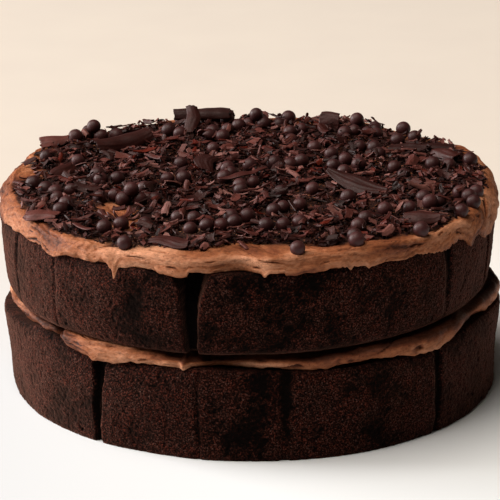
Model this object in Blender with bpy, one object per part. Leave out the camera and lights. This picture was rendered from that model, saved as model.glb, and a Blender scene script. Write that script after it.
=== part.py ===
"""A round two-layer chocolate cake with bare sides.

Two sponge layers stand on each other with a thin layer of chocolate buttercream between them and a thicker, roughly
spread one on top. Small chocolate pearls and short flakes are bedded in the top, and long shavings lie on it.

The frame is in metres, +Z up, with the origin at the middle of the cake's base. The front is towards -Y.
Angles are in degrees round the axis, from 0 at the front through 90 at the right to 180 at the back.
"""

import math
import random
from typing import NamedTuple

import bmesh
import bpy
from mathutils import Matrix, Vector, noise
from mathutils.bvhtree import BVHTree

MM = 0.001

# Heights
LOWER_TOP = 36.0 * MM
FILLING_TOP = 42.2 * MM
UPPER_TOP = 76.0 * MM
FROSTING_TOP = 82.3 * MM
CLEARANCE = 0.3 * MM
# The upper layer and what lies on it rise by this share of the way towards the right.
LEAN = 0.014

# Sponge walls
SPONGE_RADIUS = 100.0 * MM
LOWER_SHIFT = 1.4 * MM
UPPER_SHIFT = -0.8 * MM
WALL_COLUMNS = 60
WALL_SWELL = 0.8 * MM
WALL_SWELL_LENGTH = 26.0 * MM
# The lower layer's top is flat within the first radius and wavers from there to its edge at the second.
LOWER_FLAT_RADIUS = 88.0 * MM
LOWER_EDGE_RADIUS = 98.6 * MM
EDGE_CLEARANCE = 1.0 * MM

# Filling and frosting edges
FILLING_COLUMNS = 96
RIM_COLUMNS = 120
FILLING_RADIUS = 98.9 * MM
FILLING_RAGGEDNESS = 1.1 * MM
SLUMP_REACH = 16.0 * MM
FROSTING_RADIUS = 100.5 * MM
FROSTING_RAGGEDNESS = 0.9 * MM
LIP_THICKNESS = 1.3 * MM
SHOULDER_RADIUS = 99.4 * MM
SHOULDER_WAVER = 0.8 * MM
SHOULDER_WAVER_LENGTH = 18.0 * MM
LEAST_LAP = 0.1 * MM
LIP_CLEARANCE = 0.4 * MM
LIP_FOOT = 0.8 * MM
LEAST_RETREAT = 0.05 * MM
TOP_SWELL = 0.7 * MM
TOP_SWELL_LENGTH = 26.0 * MM
SPREAD_MARKS = 0.5 * MM
SPREAD_MARK_LENGTH = 9.0 * MM
CROWN = 1.8 * MM

# Toppings
SEED = 7
PEARL_RADIUS = 3.1 * MM
PEARL_SIDES = 6
PEARL_RINGS = 4
PEARL_SUNK = 1.2 * MM
PEARL_HEAP_RISE = 4.2 * MM
HEAPED_FROM = 5
SINGLE_PEARLS = 21
SINGLE_SPACING = 9.0 * MM
TOPPED_RADIUS = 90.0 * MM
FLAKES = 97
FLAKE_LENGTH = (4.5 * MM, 9.0 * MM)
FLAKE_THICKNESS = 0.8 * MM
FLAKE_TILT = (14.0, 46.0)
FLAKE_SPACING = 6.0 * MM
SHAVING_THICKNESS = 0.9 * MM

# Faces within this angle of each other are joined after the union.
FLAT_WITHIN = math.radians(3.0)


class Crease(NamedTuple):
    """A fold that the paper of the tin pressed into a sponge's wall, from its top edge to its bottom edge.

    The foot share is how much of its depth is left at the bottom.
    """

    angle: float
    top_width: float
    bottom_width: float
    depth: float
    foot_share: float = 0.6


class Layer(NamedTuple):
    """One sponge layer. Each row of its profile is a height above its bottom and how far the wall lies in there.

    The edge rises are stretches where its top edge stands up or hangs down, and the flares are stretches where the
    wall leans out towards the top.
    """

    name: str
    shift: float
    bottom: float
    top: float
    profile: tuple
    creases: tuple
    edge_rises: tuple
    flares: tuple


class Bulge(NamedTuple):
    """A stretch of an edge that stands out by size at its middle, or lies back where size is negative."""

    angle: float
    spread: float
    size: float


class Shaving(NamedTuple):
    """A long thin shaving, as a plate bent round its length. Place and sizes are in millimetres, angles in degrees."""

    name: str
    x: float
    y: float
    heading: float
    length: float
    width: float
    bend: float
    roll: float
    pitch: float
    taper: float


LOWER_CREASES = (
    Crease(-35.0, 5.2 * MM, 2.8 * MM, 3.2 * MM),
    Crease(-12.5, 1.6 * MM, 2.0 * MM, 1.0 * MM),
    Crease(7.0, 7.0 * MM, 5.0 * MM, 1.3 * MM),
    Crease(46.5, 4.2 * MM, 3.4 * MM, 1.8 * MM),
    Crease(83.0, 3.4 * MM, 2.6 * MM, 1.4 * MM),
    Crease(124.0, 3.6 * MM, 2.4 * MM, 2.4 * MM),
    Crease(168.0, 2.6 * MM, 2.2 * MM, 1.6 * MM),
    Crease(206.0, 4.2 * MM, 2.6 * MM, 2.8 * MM),
    Crease(251.0, 2.8 * MM, 2.4 * MM, 2.0 * MM),
)
UPPER_CREASES = (
    Crease(-67.0, 3.8 * MM, 3.0 * MM, 0.9 * MM),
    Crease(-49.0, 2.0 * MM, 1.6 * MM, 0.5 * MM),
    Crease(-12.8, 8.4 * MM, 4.2 * MM, 6.8 * MM),
    Crease(51.0, 4.6 * MM, 2.0 * MM, 1.7 * MM, 0.1),
    Crease(72.0, 3.2 * MM, 2.4 * MM, 1.2 * MM),
    Crease(110.0, 3.0 * MM, 2.0 * MM, 2.0 * MM),
    Crease(149.0, 6.0 * MM, 2.6 * MM, 3.4 * MM),
    Crease(193.0, 2.6 * MM, 2.0 * MM, 1.8 * MM),
    Crease(238.0, 4.0 * MM, 2.2 * MM, 2.4 * MM),
)
LOWER_EDGE_RISES = (
    Bulge(-57.0, 8.0, 1.8 * MM),
    Bulge(-38.0, 8.0, -2.4 * MM),
    Bulge(-14.0, 7.0, 0.8 * MM),
    Bulge(2.0, 7.0, 0.6 * MM),
    Bulge(17.0, 9.0, -0.6 * MM),
    Bulge(45.0, 8.0, -1.8 * MM),
    Bulge(67.0, 9.0, 1.7 * MM),
    Bulge(108.0, 10.0, -1.6 * MM),
    Bulge(147.0, 9.0, 1.4 * MM),
    Bulge(188.0, 10.0, -1.8 * MM),
    Bulge(226.0, 9.0, 1.2 * MM),
    Bulge(258.0, 10.0, -1.4 * MM),
)
LOWER_FLARES = (Bulge(-78.0, 16.0, 4.2 * MM), Bulge(84.0, 16.0, 3.0 * MM), Bulge(170.0, 22.0, 1.0 * MM))
UPPER_FLARES = (Bulge(-86.0, 20.0, 1.3 * MM), Bulge(88.0, 26.0, 2.6 * MM))
LAYERS = (
    Layer(
        name="sponge_lower",
        shift=LOWER_SHIFT,
        bottom=0.0,
        top=LOWER_TOP,
        profile=((0.0, 0.7), (1.4, 0.1), (10.0, 0.0), (21.0, -0.4), (32.0, 0.1), (34.8, 0.6), (36.0, 1.9)),
        creases=LOWER_CREASES,
        edge_rises=LOWER_EDGE_RISES,
        flares=LOWER_FLARES,
    ),
    Layer(
        name="sponge_upper",
        shift=UPPER_SHIFT,
        bottom=FILLING_TOP + CLEARANCE,
        top=UPPER_TOP,
        profile=((0.0, 4.4), (1.5, 2.0), (5.0, 0.5), (20.0, -0.7), (30.0, 0.1), (32.5, 0.7), (33.5, 1.9)),
        creases=UPPER_CREASES,
        edge_rises=(),
        flares=UPPER_FLARES,
    ),
)
FILLING_BULGES = (
    Bulge(-66.0, 9.0, -1.8 * MM),
    Bulge(-51.5, 3.0, -2.0 * MM),
    Bulge(-38.0, 12.0, 2.4 * MM),
    Bulge(-5.0, 8.5, -6.5 * MM),
    Bulge(9.0, 7.0, -2.4 * MM),
    Bulge(44.0, 11.0, 2.6 * MM),
    Bulge(63.0, 6.0, -1.4 * MM),
    Bulge(86.0, 13.0, 2.8 * MM),
    Bulge(128.0, 14.0, -2.2 * MM),
    Bulge(162.0, 18.0, 2.0 * MM),
    Bulge(204.0, 11.0, -2.8 * MM),
    Bulge(236.0, 15.0, 1.8 * MM),
)
# Where the filling's edge lies lower under the upper layer, as shares of its thickness
FILLING_SLUMPS = (
    Bulge(-8.0, 14.0, 0.45),
    Bulge(12.0, 8.0, 0.25),
    Bulge(63.0, 5.0, 0.20),
    Bulge(128.0, 12.0, 0.30),
    Bulge(204.0, 12.0, 0.40),
)
LIP_LAPS = (
    Bulge(-86.0, 10.0, 2.4 * MM),
    Bulge(-49.0, 4.0, 1.8 * MM),
    Bulge(-36.0, 3.0, 1.4 * MM),
    Bulge(-16.5, 4.5, 1.6 * MM),
    Bulge(8.0, 3.5, 0.8 * MM),
    Bulge(47.0, 6.0, 1.4 * MM),
    Bulge(70.0, 8.0, 6.0 * MM),
    Bulge(98.0, 10.0, 1.6 * MM),
    Bulge(140.0, 12.0, 3.2 * MM),
    Bulge(183.0, 9.0, 1.6 * MM),
    Bulge(228.0, 11.0, 3.0 * MM),
)
# Where the frosting's top reaches less far out
SHOULDER_BULGES = (Bulge(86.0, 16.0, -1.4 * MM),)
# Where the frosting stands higher towards its edge
TOP_RISES = (Bulge(-108.0, 24.0, 4.2 * MM), Bulge(108.0, 14.0, 2.8 * MM))
# Where the frosting's edge lies back on the upper layer's top
LIP_RETREATS = (Bulge(-3.0, 5.0, 4.6 * MM), Bulge(162.0, 6.0, 3.6 * MM), Bulge(208.0, 5.0, 3.0 * MM))
# Where pearls lie together: x and y in millimetres from the axis, and how many.
PEARL_GROUPS = (
    (-70, 62, 6), (-72, -18, 4), (-73, -36, 2), (-54, -4, 3), (-44, -32, 5), (-28, -57, 2), (-23, -71, 2),
    (-6, -64, 4), (-30, 86, 1), (-10, 86, 3), (-35, 66, 2), (-16, 63, 3), (-27, -5, 2), (-8, 1, 3), (6, 76, 5),
    (22, 66, 2), (10, 14, 3), (-4, -16, 3), (47, 69, 5), (54, 58, 3), (46, 38, 2), (82, 11, 2), (84, -26, 4),
    (69, -34, 2), (13, -44, 3), (13, -66, 3), (40, -79, 4), (-50, -64, 2), (-85, 27, 1), (66, 67, 1), (91, 16, 1),
    (18, -94, 1), (-48, -83, 1), (-88, -8, 1), (66, -71, 1), (39, -34, 1), (53, -49, 1), (63, -47, 1),
    (45, -59, 1), (42, -68, 1), (83, -49, 1), (75, -38, 1),
)
SHAVINGS = (
    Shaving("shaving_back_bar", -21, 83, 2, 25, 9, 150, 20, 0, 0.0),
    Shaving("shaving_back_post", -25, 72, 88, 15, 6, 40, 0, 37, 0.2),
    Shaving("shaving_left_curl", -54, 43, 31, 27, 14, 170, 10, 4, 0.35),
    Shaving("shaving_left_rim", -83, 46, 6, 13, 7, 70, 25, 4, 0.3),
    Shaving("shaving_left_plate", -77, 8, 62, 14, 6, 30, 24, 8, 0.5),
    Shaving("shaving_right_leaf", 43, -19, -36, 30, 9, 45, 22, -6, 0.8),
    Shaving("shaving_back_curl", 34, 71, -15, 9, 10, 120, 50, 0, 0.2),
    Shaving("shaving_right_bar", 72, 37, -4, 28, 6, 60, 14, 2, 0.0),
    Shaving("shaving_right_scroll", 81, 22, -55, 16, 9, 110, 20, 4, 0.4),
    Shaving("shaving_middle_leaf", -3, -8, 22, 22, 7, 40, -14, 6, 0.7),
    Shaving("shaving_middle_plate", -18, 11, 75, 13, 9, 30, 16, 10, 0.2),
    Shaving("shaving_front_plate", -31, -84, -26, 18, 8, 35, 12, 6, 0.5),
    Shaving("shaving_front_left", -64, -67, -48, 13, 6, 60, -20, 4, 0.5),
    Shaving("shaving_rim_left", -82, -48, -30, 15, 9, 50, 14, 5, 0.4),
    Shaving("shaving_front_right", 67, -59, -10, 15, 7, 90, 30, 4, 0.6),
)


def turned(angle):
    """The angle as a turn between -180 and 180 degrees."""
    return (angle + 180.0) % 360.0 - 180.0


def mixed(low, high, share):
    return low + (high - low) * share


def around(angle, radius, height):
    """The point at this angle from the front, this far from the axis."""
    turn = math.radians(angle)
    return Vector((radius * math.sin(turn), -radius * math.cos(turn), height))


def ripple(point, length, seed=0.0):
    """A smooth value between -1 and 1 that changes over about this length."""
    return noise.noise(point / length + Vector((seed, 2.0 * seed, 0.0)))


def bulge_at(angle, bulges):
    """How far an edge with these bulges stands out at this angle."""
    return sum(b.size * math.exp(-((turned(angle - b.angle) / b.spread) ** 2)) for b in bulges)


def plain_material(name, colour, roughness):
    material = bpy.data.materials.new(name)
    material.use_nodes = True
    shader = material.node_tree.nodes["Principled BSDF"]
    shader.inputs["Base Color"].default_value = (*colour, 1.0)
    shader.inputs["Roughness"].default_value = roughness
    shader.inputs["Metallic"].default_value = 0.0
    material.diffuse_color = (*colour, 1.0)
    return material


def lean(obj):
    """Lowers the object towards the left and lifts it towards the right, as far as the upper layer leans."""
    for vert in obj.data.vertices:
        vert.co.z += LEAN * vert.co.x


def object_of(name, bm, material, parent=None):
    """A named object from this bmesh, which is freed. It is shaded smooth with its sharp edges kept."""
    mesh = bpy.data.meshes.new(name)
    bm.to_mesh(mesh)
    bm.free()
    mesh.shade_smooth()
    mesh.set_sharp_from_angle(angle=math.radians(50.0))
    mesh.materials.append(material)
    obj = bpy.data.objects.new(name, mesh)
    obj.parent = parent
    bpy.context.scene.collection.objects.link(obj)
    return obj


def skin_of(rings):
    """A closed bmesh through these rings of points, from the bottom one to the top one, with both ends filled.

    A ring has as many points as the ring below it, or that number divided by a whole number.
    """
    bm = bmesh.new()
    rows = [[bm.verts.new(point) for point in ring] for ring in rings]
    bm.faces.new(list(reversed(rows[0])))
    bm.faces.new(rows[-1])
    for low, high in zip(rows, rows[1:]):
        step = len(low) // len(high)
        for i in range(len(high)):
            for k in range(i * step, (i + 1) * step):
                bm.faces.new((low[k], low[(k + 1) % len(low)], high[i]))
            bm.faces.new((low[(i + 1) * step % len(low)], high[(i + 1) % len(high)], high[i]))
    return bm


# Sponge layers


def wall_reach(layer, angle, height):
    """How far from the axis the layer's wall lies at this angle and height, where it has no crease."""
    rise = height - layer.bottom
    rows = [(row_rise * MM, inset * MM) for row_rise, inset in layer.profile]
    inset = rows[-1][1]
    for (low, low_inset), (high, high_inset) in zip(rows, rows[1:]):
        if low <= rise <= high:
            inset = mixed(low_inset, high_inset, (rise - low) / (high - low))
    point = around(angle, SPONGE_RADIUS - inset, height)
    swell = WALL_SWELL * ripple(point, WALL_SWELL_LENGTH)
    flare = bulge_at(angle, layer.flares) * (rise / (layer.top - layer.bottom)) ** 3
    return SPONGE_RADIUS - inset + swell + flare + layer.shift * math.sin(math.radians(angle))


def edge_rise(layer, angle):
    """How far the layer's top edge stands up at this angle, in straight stretches between its even columns."""
    step = 360.0 / WALL_COLUMNS
    low = math.floor(angle / step) * step
    low_rise, high_rise = (bulge_at(end, layer.edge_rises) for end in (low, low + step))
    return mixed(low_rise, high_rise, (angle - low) / step)


def lower_top_at(x, y):
    """The height of the lower layer's top, which wavers near its edge."""
    place = Vector((x - LOWER_SHIFT, y))
    share = (place.length - LOWER_FLAT_RADIUS) / (LOWER_EDGE_RADIUS - LOWER_FLAT_RADIUS)
    angle = math.degrees(math.atan2(place.x, -place.y))
    return LOWER_TOP + max(0.0, min(1.0, share)) * edge_rise(LAYERS[0], angle)


def wall_columns(creases):
    """The wall's columns in order, each as (angle, crease, share of the crease's half width)."""
    found = []
    for step in range(WALL_COLUMNS):
        angle = 360.0 * step / WALL_COLUMNS
        reach = [math.degrees(0.5 * c.top_width / SPONGE_RADIUS) + 1.0 for c in creases]
        if all(abs(turned(angle - c.angle)) > r for c, r in zip(creases, reach)):
            found.append((angle, None, 0.0))
    for crease in creases:
        found += [(crease.angle, crease, share) for share in (-1.0, 0.0, 1.0)]
    return sorted(found, key=lambda column: column[0] % 360.0 + column[2] * 0.01)


def wall_point(layer, column, rise, inset):
    """A point of the layer's wall, rise above its bottom. A crease's columns follow its sides as it narrows."""
    angle, crease, share = column
    up = rise / (layer.top - layer.bottom)
    radius = SPONGE_RADIUS - inset + bulge_at(angle, layer.flares) * up**3
    if crease:
        half_width = 0.5 * mixed(crease.bottom_width, crease.top_width, up)
        angle += math.degrees(share * half_width / SPONGE_RADIUS)
        radius -= crease.depth * (1.0 - abs(share)) * mixed(crease.foot_share, 1.0, up)
    point = around(angle, radius, layer.bottom + rise)
    swell = WALL_SWELL * ripple(point, WALL_SWELL_LENGTH)
    edge = Vector((0.0, 0.0, edge_rise(layer, angle) * up**6))
    return point + around(angle, swell, 0.0) + edge + Vector((layer.shift, 0.0, 0.0))


def sponge_layer(layer, material):
    columns = wall_columns(layer.creases)
    rings = [
        [wall_point(layer, column, rise * MM, inset * MM) for column in columns] for rise, inset in layer.profile
    ]
    if layer.edge_rises:
        flat = [around(angle, LOWER_FLAT_RADIUS, layer.top) for angle, _, _ in columns]
        rings.append([point + Vector((layer.shift, 0.0, 0.0)) for point in flat])
    return object_of(layer.name, skin_of(rings), material)


# Buttercream


def even_angles(count):
    return [360.0 * step / count for step in range(count)]


def filling(material):
    """The disc of buttercream between the layers, whose edge bulges out, lies back and slumps."""
    bottom = LOWER_TOP + CLEARANCE
    depth = FILLING_TOP - bottom
    profile = ((0.0, -2.2), (0.14, -0.5), (0.5, 0.4), (0.84, -0.2), (1.0, -2.0))
    angles = even_angles(FILLING_COLUMNS)
    rings = [[around(angle, LOWER_FLAT_RADIUS - LOWER_SHIFT, bottom) for angle in angles]]
    for share, out in profile:
        ring = []
        for angle in angles:
            slump = bulge_at(angle, FILLING_SLUMPS)
            radius = FILLING_RADIUS + bulge_at(angle, FILLING_BULGES)
            radius += FILLING_RAGGEDNESS * ripple(around(angle, radius, 3.0 * share * depth), 8.0 * MM, seed=3.0)
            if share < 1.0:
                level = share * (1.0 - slump)
            else:
                level = 1.0
                radius -= SLUMP_REACH * slump
            point = around(angle, radius + out * MM, 0.0)
            under = lower_top_at(point.x, point.y) + EDGE_CLEARANCE
            point.z = mixed(under, FILLING_TOP + LEAN * point.x, level)
            ring.append(point)
        rings.append(ring)
    return object_of("filling", skin_of(rings), material)


def frosting_height(x, y):
    """The height of the spread frosting, away from its edge."""
    share = min(1.0, math.hypot(x, y) / FROSTING_RADIUS)
    rise = bulge_at(math.degrees(math.atan2(x, -y)), TOP_RISES) * share**8
    place = Vector((x, y, 0.0))
    swell = TOP_SWELL * ripple(place, TOP_SWELL_LENGTH, seed=5.0)
    marks = SPREAD_MARKS * ripple(place, SPREAD_MARK_LENGTH, seed=6.0)
    return FROSTING_TOP + CROWN * (1.0 - share**4) + rise + swell + marks


def lip_at(angle):
    """The frosting's edge at this angle: its foot's, inner and outer radii and the height of its underside.

    It laps over the upper layer's wall, or lies back on that layer's top.
    """
    wave = ripple(around(angle, FROSTING_RADIUS, 0.0), 7.0 * MM, seed=9.0)
    ruffle = ripple(around(angle, FROSTING_RADIUS, 0.0), 7.0 * MM, seed=11.0)
    lap = bulge_at(angle, LIP_LAPS) + FROSTING_RAGGEDNESS * wave
    height = UPPER_TOP - max(LEAST_LAP, lap)
    upper = LAYERS[1]
    inner = max(wall_reach(upper, angle, height), wall_reach(upper, angle, UPPER_TOP)) + LIP_CLEARANCE
    foot = inner
    retreat = bulge_at(angle, LIP_RETREATS)
    if retreat > LEAST_RETREAT:
        height = UPPER_TOP + CLEARANCE
        inner -= retreat
        foot = inner - LIP_FOOT
    return foot, inner, inner + LIP_THICKNESS + FROSTING_RAGGEDNESS * ruffle, height


def shoulder_at(angle, outer):
    """How far out the frosting's top reaches at this angle, where its edge reaches as far as outer."""
    waver = SHOULDER_WAVER * ripple(around(angle, FROSTING_RADIUS, 0.0), SHOULDER_WAVER_LENGTH, seed=13.0)
    return min(outer, SHOULDER_RADIUS + waver + bulge_at(angle, SHOULDER_BULGES))


def frosting_body():
    """The frosting without its toppings: a thick disc whose edge laps over the upper layer's wall.

    Each row of the rim's profile is a share of the way in from the lip to the shoulder, how far further out it lies,
    and a share of the height.
    """
    underside = UPPER_TOP + CLEARANCE
    rim_profile = ((0.0, -0.25, 0.0), (0.0, 0.0, 0.3), (0.35, 0.0, 0.62), (1.0, -0.2, 0.9), (1.0, -2.8, 1.0))
    top_rings = ((60, 0.88), (30, 0.62), (15, 0.28))
    angles = even_angles(RIM_COLUMNS)
    lips = [lip_at(angle) for angle in angles]
    rings = [[around(a, foot, underside) for a, (foot, _, _, _) in zip(angles, lips)]]
    rings.append([around(a, inner, height) for a, (_, inner, _, height) in zip(angles, lips)])
    for inward, out, share in rim_profile:
        ring = []
        for a, (_, _, outer, height) in zip(angles, lips):
            point = around(a, mixed(outer, shoulder_at(a, outer), inward) + out * MM, 0.0)
            point.z = mixed(height, frosting_height(point.x, point.y), share)
            ring.append(point)
        rings.append(ring)
    for columns, share in top_rings:
        ring = [around(a, share * FROSTING_RADIUS, 0.0) for a in even_angles(columns)]
        for point in ring:
            point.z = frosting_height(point.x, point.y)
        rings.append(ring)
    return skin_of(rings)


# Pearls and flakes bedded in the frosting


def gap_to_shavings(x, y):
    """How far the point is from the nearest long shaving's outline, seen from above."""
    gaps = []
    for s in SHAVINGS:
        along = Vector((math.cos(math.radians(s.heading)), math.sin(math.radians(s.heading))))
        offset = Vector((x - s.x * MM, y - s.y * MM))
        run = max(-0.5 * s.length * MM, min(0.5 * s.length * MM, offset.dot(along)))
        gaps.append((offset - along * run).length - 0.5 * s.width * MM)
    return min(gaps)


def pearl_places(rng):
    """The pearls' places as (x, y, rise): the groups first, then single ones between them."""
    places = []

    def is_free(x, y, spacing):
        return all(math.hypot(x - px, y - py) >= spacing for px, py, _ in places)

    touching = 2.0 * PEARL_RADIUS
    for group_x, group_y, count in PEARL_GROUPS:
        group = [(group_x * MM, group_y * MM)]
        while len(group) < count:
            base_x, base_y = rng.choice(group)
            heading = rng.uniform(0.0, 2.0 * math.pi)
            reach = touching * rng.uniform(1.02, 1.12)
            x, y = base_x + reach * math.cos(heading), base_y + reach * math.sin(heading)
            clear = all(math.hypot(x - gx, y - gy) >= touching for gx, gy in group)
            if clear and gap_to_shavings(x, y) > 0.5 * PEARL_RADIUS:
                group.append((x, y))
        places += [(x, y, 0.0) for x, y in group]
        if count >= HEAPED_FROM:
            (first_x, first_y), (next_x, next_y) = group[:2]
            places.append((0.5 * (first_x + next_x), 0.5 * (first_y + next_y), PEARL_HEAP_RISE))
    singles = 0
    while singles < SINGLE_PEARLS:
        radius = TOPPED_RADIUS * math.sqrt(rng.random())
        heading = rng.uniform(0.0, 2.0 * math.pi)
        x, y = radius * math.cos(heading), radius * math.sin(heading)
        if is_free(x, y, SINGLE_SPACING) and gap_to_shavings(x, y) > PEARL_RADIUS:
            places.append((x, y, 0.0))
            singles += 1
    return places


def pearl(x, y, rise, rng):
    """A small ball that stands in the frosting."""
    radius = PEARL_RADIUS * rng.uniform(0.92, 1.06)
    bm = bmesh.new()
    bmesh.ops.create_uvsphere(bm, u_segments=PEARL_SIDES, v_segments=PEARL_RINGS, radius=radius)
    turn = Matrix.Rotation(rng.uniform(0.0, math.pi), 4, "Z")
    place = Matrix.Translation((x, y, frosting_height(x, y) + radius - PEARL_SUNK + rise))
    bmesh.ops.transform(bm, matrix=place @ turn, verts=bm.verts)
    return bm


def flake(x, y, rng):
    """A flat splinter of chocolate with four uneven corners, one end of it under the frosting."""
    length = rng.uniform(*FLAKE_LENGTH)
    width = length * rng.uniform(0.35, 0.65)
    corners = [
        (-0.5 * length, -0.5 * width * rng.uniform(0.2, 1.0)),
        (0.5 * length, -0.5 * width * rng.uniform(0.4, 1.0)),
        (0.5 * length * rng.uniform(0.6, 1.0), 0.5 * width),
        (-0.5 * length * rng.uniform(0.6, 1.0), 0.5 * width * rng.uniform(0.5, 1.0)),
    ]
    bm = skin_of([[Vector((u, v, side * 0.5 * FLAKE_THICKNESS)) for u, v in corners] for side in (-1.0, 1.0)])
    tilt = Matrix.Rotation(-math.radians(rng.uniform(*FLAKE_TILT)), 4, "Y")
    roll = Matrix.Rotation(math.radians(rng.uniform(-22.0, 22.0)), 4, "X")
    turn = Matrix.Rotation(rng.uniform(0.0, 2.0 * math.pi), 4, "Z")
    place = Matrix.Translation((x, y, frosting_height(x, y) + 0.5 * MM))
    bmesh.ops.transform(bm, matrix=place @ turn @ tilt @ roll, verts=bm.verts)
    return bm


def flake_places(rng, pearls):
    """Places for the flakes, spread evenly over the top between the pearls and the long shavings."""
    places = []
    while len(places) < FLAKES:
        radius = TOPPED_RADIUS * math.sqrt(rng.random())
        heading = rng.uniform(0.0, 2.0 * math.pi)
        x, y = radius * math.cos(heading), radius * math.sin(heading)
        far_from_flakes = all(math.hypot(x - fx, y - fy) > FLAKE_SPACING for fx, fy in places)
        far_from_pearls = all(math.hypot(x - px, y - py) > 1.1 * PEARL_RADIUS for px, py, _ in pearls)
        if far_from_flakes and far_from_pearls and gap_to_shavings(x, y) > 0.5 * FLAKE_LENGTH[1]:
            places.append((x, y))
    return places


def largest_shell(obj):
    """Keeps the object's largest connected surface, so a sealed hollow is filled and a loose scrap dropped."""
    bm = bmesh.new()
    bm.from_mesh(obj.data)
    left = set(bm.verts)
    shells = []
    while left:
        shell, edge = set(), [left.pop()]
        while edge:
            vert = edge.pop()
            shell.add(vert)
            near = {e.other_vert(vert) for e in vert.link_edges} & left
            left -= near
            edge += near
        shells.append(shell)
    largest = max(shells, key=len)
    scraps = [v for shell in shells if shell is not largest for v in shell]
    bmesh.ops.delete(bm, geom=scraps, context="VERTS")
    bmesh.ops.dissolve_limit(bm, angle_limit=FLAT_WITHIN, verts=bm.verts, edges=bm.edges)
    bmesh.ops.triangulate(bm, faces=bm.faces)
    bm.to_mesh(obj.data)
    bm.free()


def union_into(obj, pieces, material):
    """Joins the pieces, each a bmesh, to the object with one Boolean union, applied."""
    collection = bpy.data.collections.new("pieces")
    bpy.context.scene.collection.children.link(collection)
    for number, bm in enumerate(pieces):
        piece = object_of(f"piece_{number}", bm, material)
        bpy.context.scene.collection.objects.unlink(piece)
        collection.objects.link(piece)
    union = obj.modifiers.new("toppings", "BOOLEAN")
    union.operation = "UNION"
    union.operand_type = "COLLECTION"
    union.collection = collection
    union.solver = "EXACT"
    graph = bpy.context.evaluated_depsgraph_get()
    joined = bpy.data.meshes.new_from_object(obj.evaluated_get(graph))
    obj.modifiers.clear()
    obj.data = joined
    for piece in list(collection.objects):
        bpy.data.objects.remove(piece)
    bpy.data.collections.remove(collection)


def frosting(cream, chocolate):
    rng = random.Random(SEED)
    body = object_of("frosting", frosting_body(), cream)
    pearls = pearl_places(rng)
    pieces = [pearl(x, y, rise, rng) for x, y, rise in pearls]
    pieces += [flake(x, y, rng) for x, y in flake_places(rng, pearls)]
    union_into(body, pieces, chocolate)
    largest_shell(body)
    return body


# Long shavings, each a piece of its own


def shaving_skin(shaving):
    """A thin plate bent round its length, with narrowing ends, about its own middle."""
    steps, sides = 5, 3
    bend = math.radians(shaving.bend)
    radius = shaving.width * MM / bend
    bm = bmesh.new()
    faces = []
    for side in (1.0, -1.0):
        rows = []
        for i in range(steps + 1):
            run = 2.0 * i / steps - 1.0
            spread = 1.0 - shaving.taper * abs(run) ** 2.5
            row = []
            for k in range(sides + 1):
                turn = bend * spread * (k / sides - 0.5)
                r = radius + 0.5 * side * SHAVING_THICKNESS
                place = (0.5 * run * shaving.length * MM, r * math.sin(turn), r * math.cos(turn) - radius)
                row.append(bm.verts.new(place))
            rows.append(row)
        faces.append(rows)
    top, under = faces
    for i in range(steps):
        for k in range(sides):
            bm.faces.new((top[i][k], top[i + 1][k], top[i + 1][k + 1], top[i][k + 1]))
            bm.faces.new((under[i][k + 1], under[i + 1][k + 1], under[i + 1][k], under[i][k]))
        bm.faces.new((under[i][0], under[i + 1][0], top[i + 1][0], top[i][0]))
        bm.faces.new((top[i][-1], top[i + 1][-1], under[i + 1][-1], under[i][-1]))
    for k in range(sides):
        bm.faces.new((top[0][k], top[0][k + 1], under[0][k + 1], under[0][k]))
        bm.faces.new((top[-1][k + 1], top[-1][k], under[-1][k], under[-1][k + 1]))
    bmesh.ops.recalc_face_normals(bm, faces=bm.faces)
    return bm


def tree_of(obj):
    bm = bmesh.new()
    bm.from_mesh(obj.data)
    bm.transform(obj.matrix_world)
    tree = BVHTree.FromBMesh(bm)
    bm.free()
    return tree


def world_points(obj):
    """The object's corners and three points along each of its edges."""
    corners = [obj.matrix_world @ vert.co for vert in obj.data.vertices]
    edges = [[corners[i] for i in edge.vertices] for edge in obj.data.edges]
    return corners + [low.lerp(high, share) for low, high in edges for share in (0.25, 0.5, 0.75)]


def set_down(obj, obstacles):
    """Moves the object down or up until it just clears the obstacles, each given as its points and its tree."""
    bpy.context.view_layer.update()
    above = 1.0
    lift = -above
    own_points, own_tree = world_points(obj), tree_of(obj)
    for points, tree in obstacles:
        for point in own_points:
            hit = tree.ray_cast(Vector((point.x, point.y, above)), Vector((0.0, 0.0, -1.0)))[0]
            if hit:
                lift = max(lift, hit.z - point.z)
        for point in points:
            hit = own_tree.ray_cast(Vector((point.x, point.y, -above)), Vector((0.0, 0.0, 1.0)))[0]
            if hit:
                lift = max(lift, point.z - hit.z)
    obj.location.z += lift + CLEARANCE
    bpy.context.view_layer.update()


def long_shavings(ground, material):
    obstacles = [(world_points(ground), tree_of(ground))]
    for shaving in SHAVINGS:
        obj = object_of(shaving.name, shaving_skin(shaving), material)
        obj.location = (shaving.x * MM, shaving.y * MM, FROSTING_TOP)
        obj.rotation_mode = "XYZ"
        obj.rotation_euler = [math.radians(a) for a in (shaving.roll, -shaving.pitch, shaving.heading)]
        set_down(obj, obstacles)
        obstacles.append((world_points(obj), tree_of(obj)))


def main():
    for obj in list(bpy.data.objects):
        bpy.data.objects.remove(obj)
    sponge = plain_material("sponge", (0.045, 0.017, 0.011), 0.85)
    cream = plain_material("buttercream", (0.38, 0.17, 0.09), 0.6)
    chocolate = plain_material("dark_chocolate", (0.035, 0.015, 0.012), 0.4)
    lower, upper = LAYERS
    sponge_layer(lower, sponge)
    filling(cream)
    top = frosting(cream, chocolate)
    for obj in (sponge_layer(upper, sponge), top):
        lean(obj)
    long_shavings(top, chocolate)


main()
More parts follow.
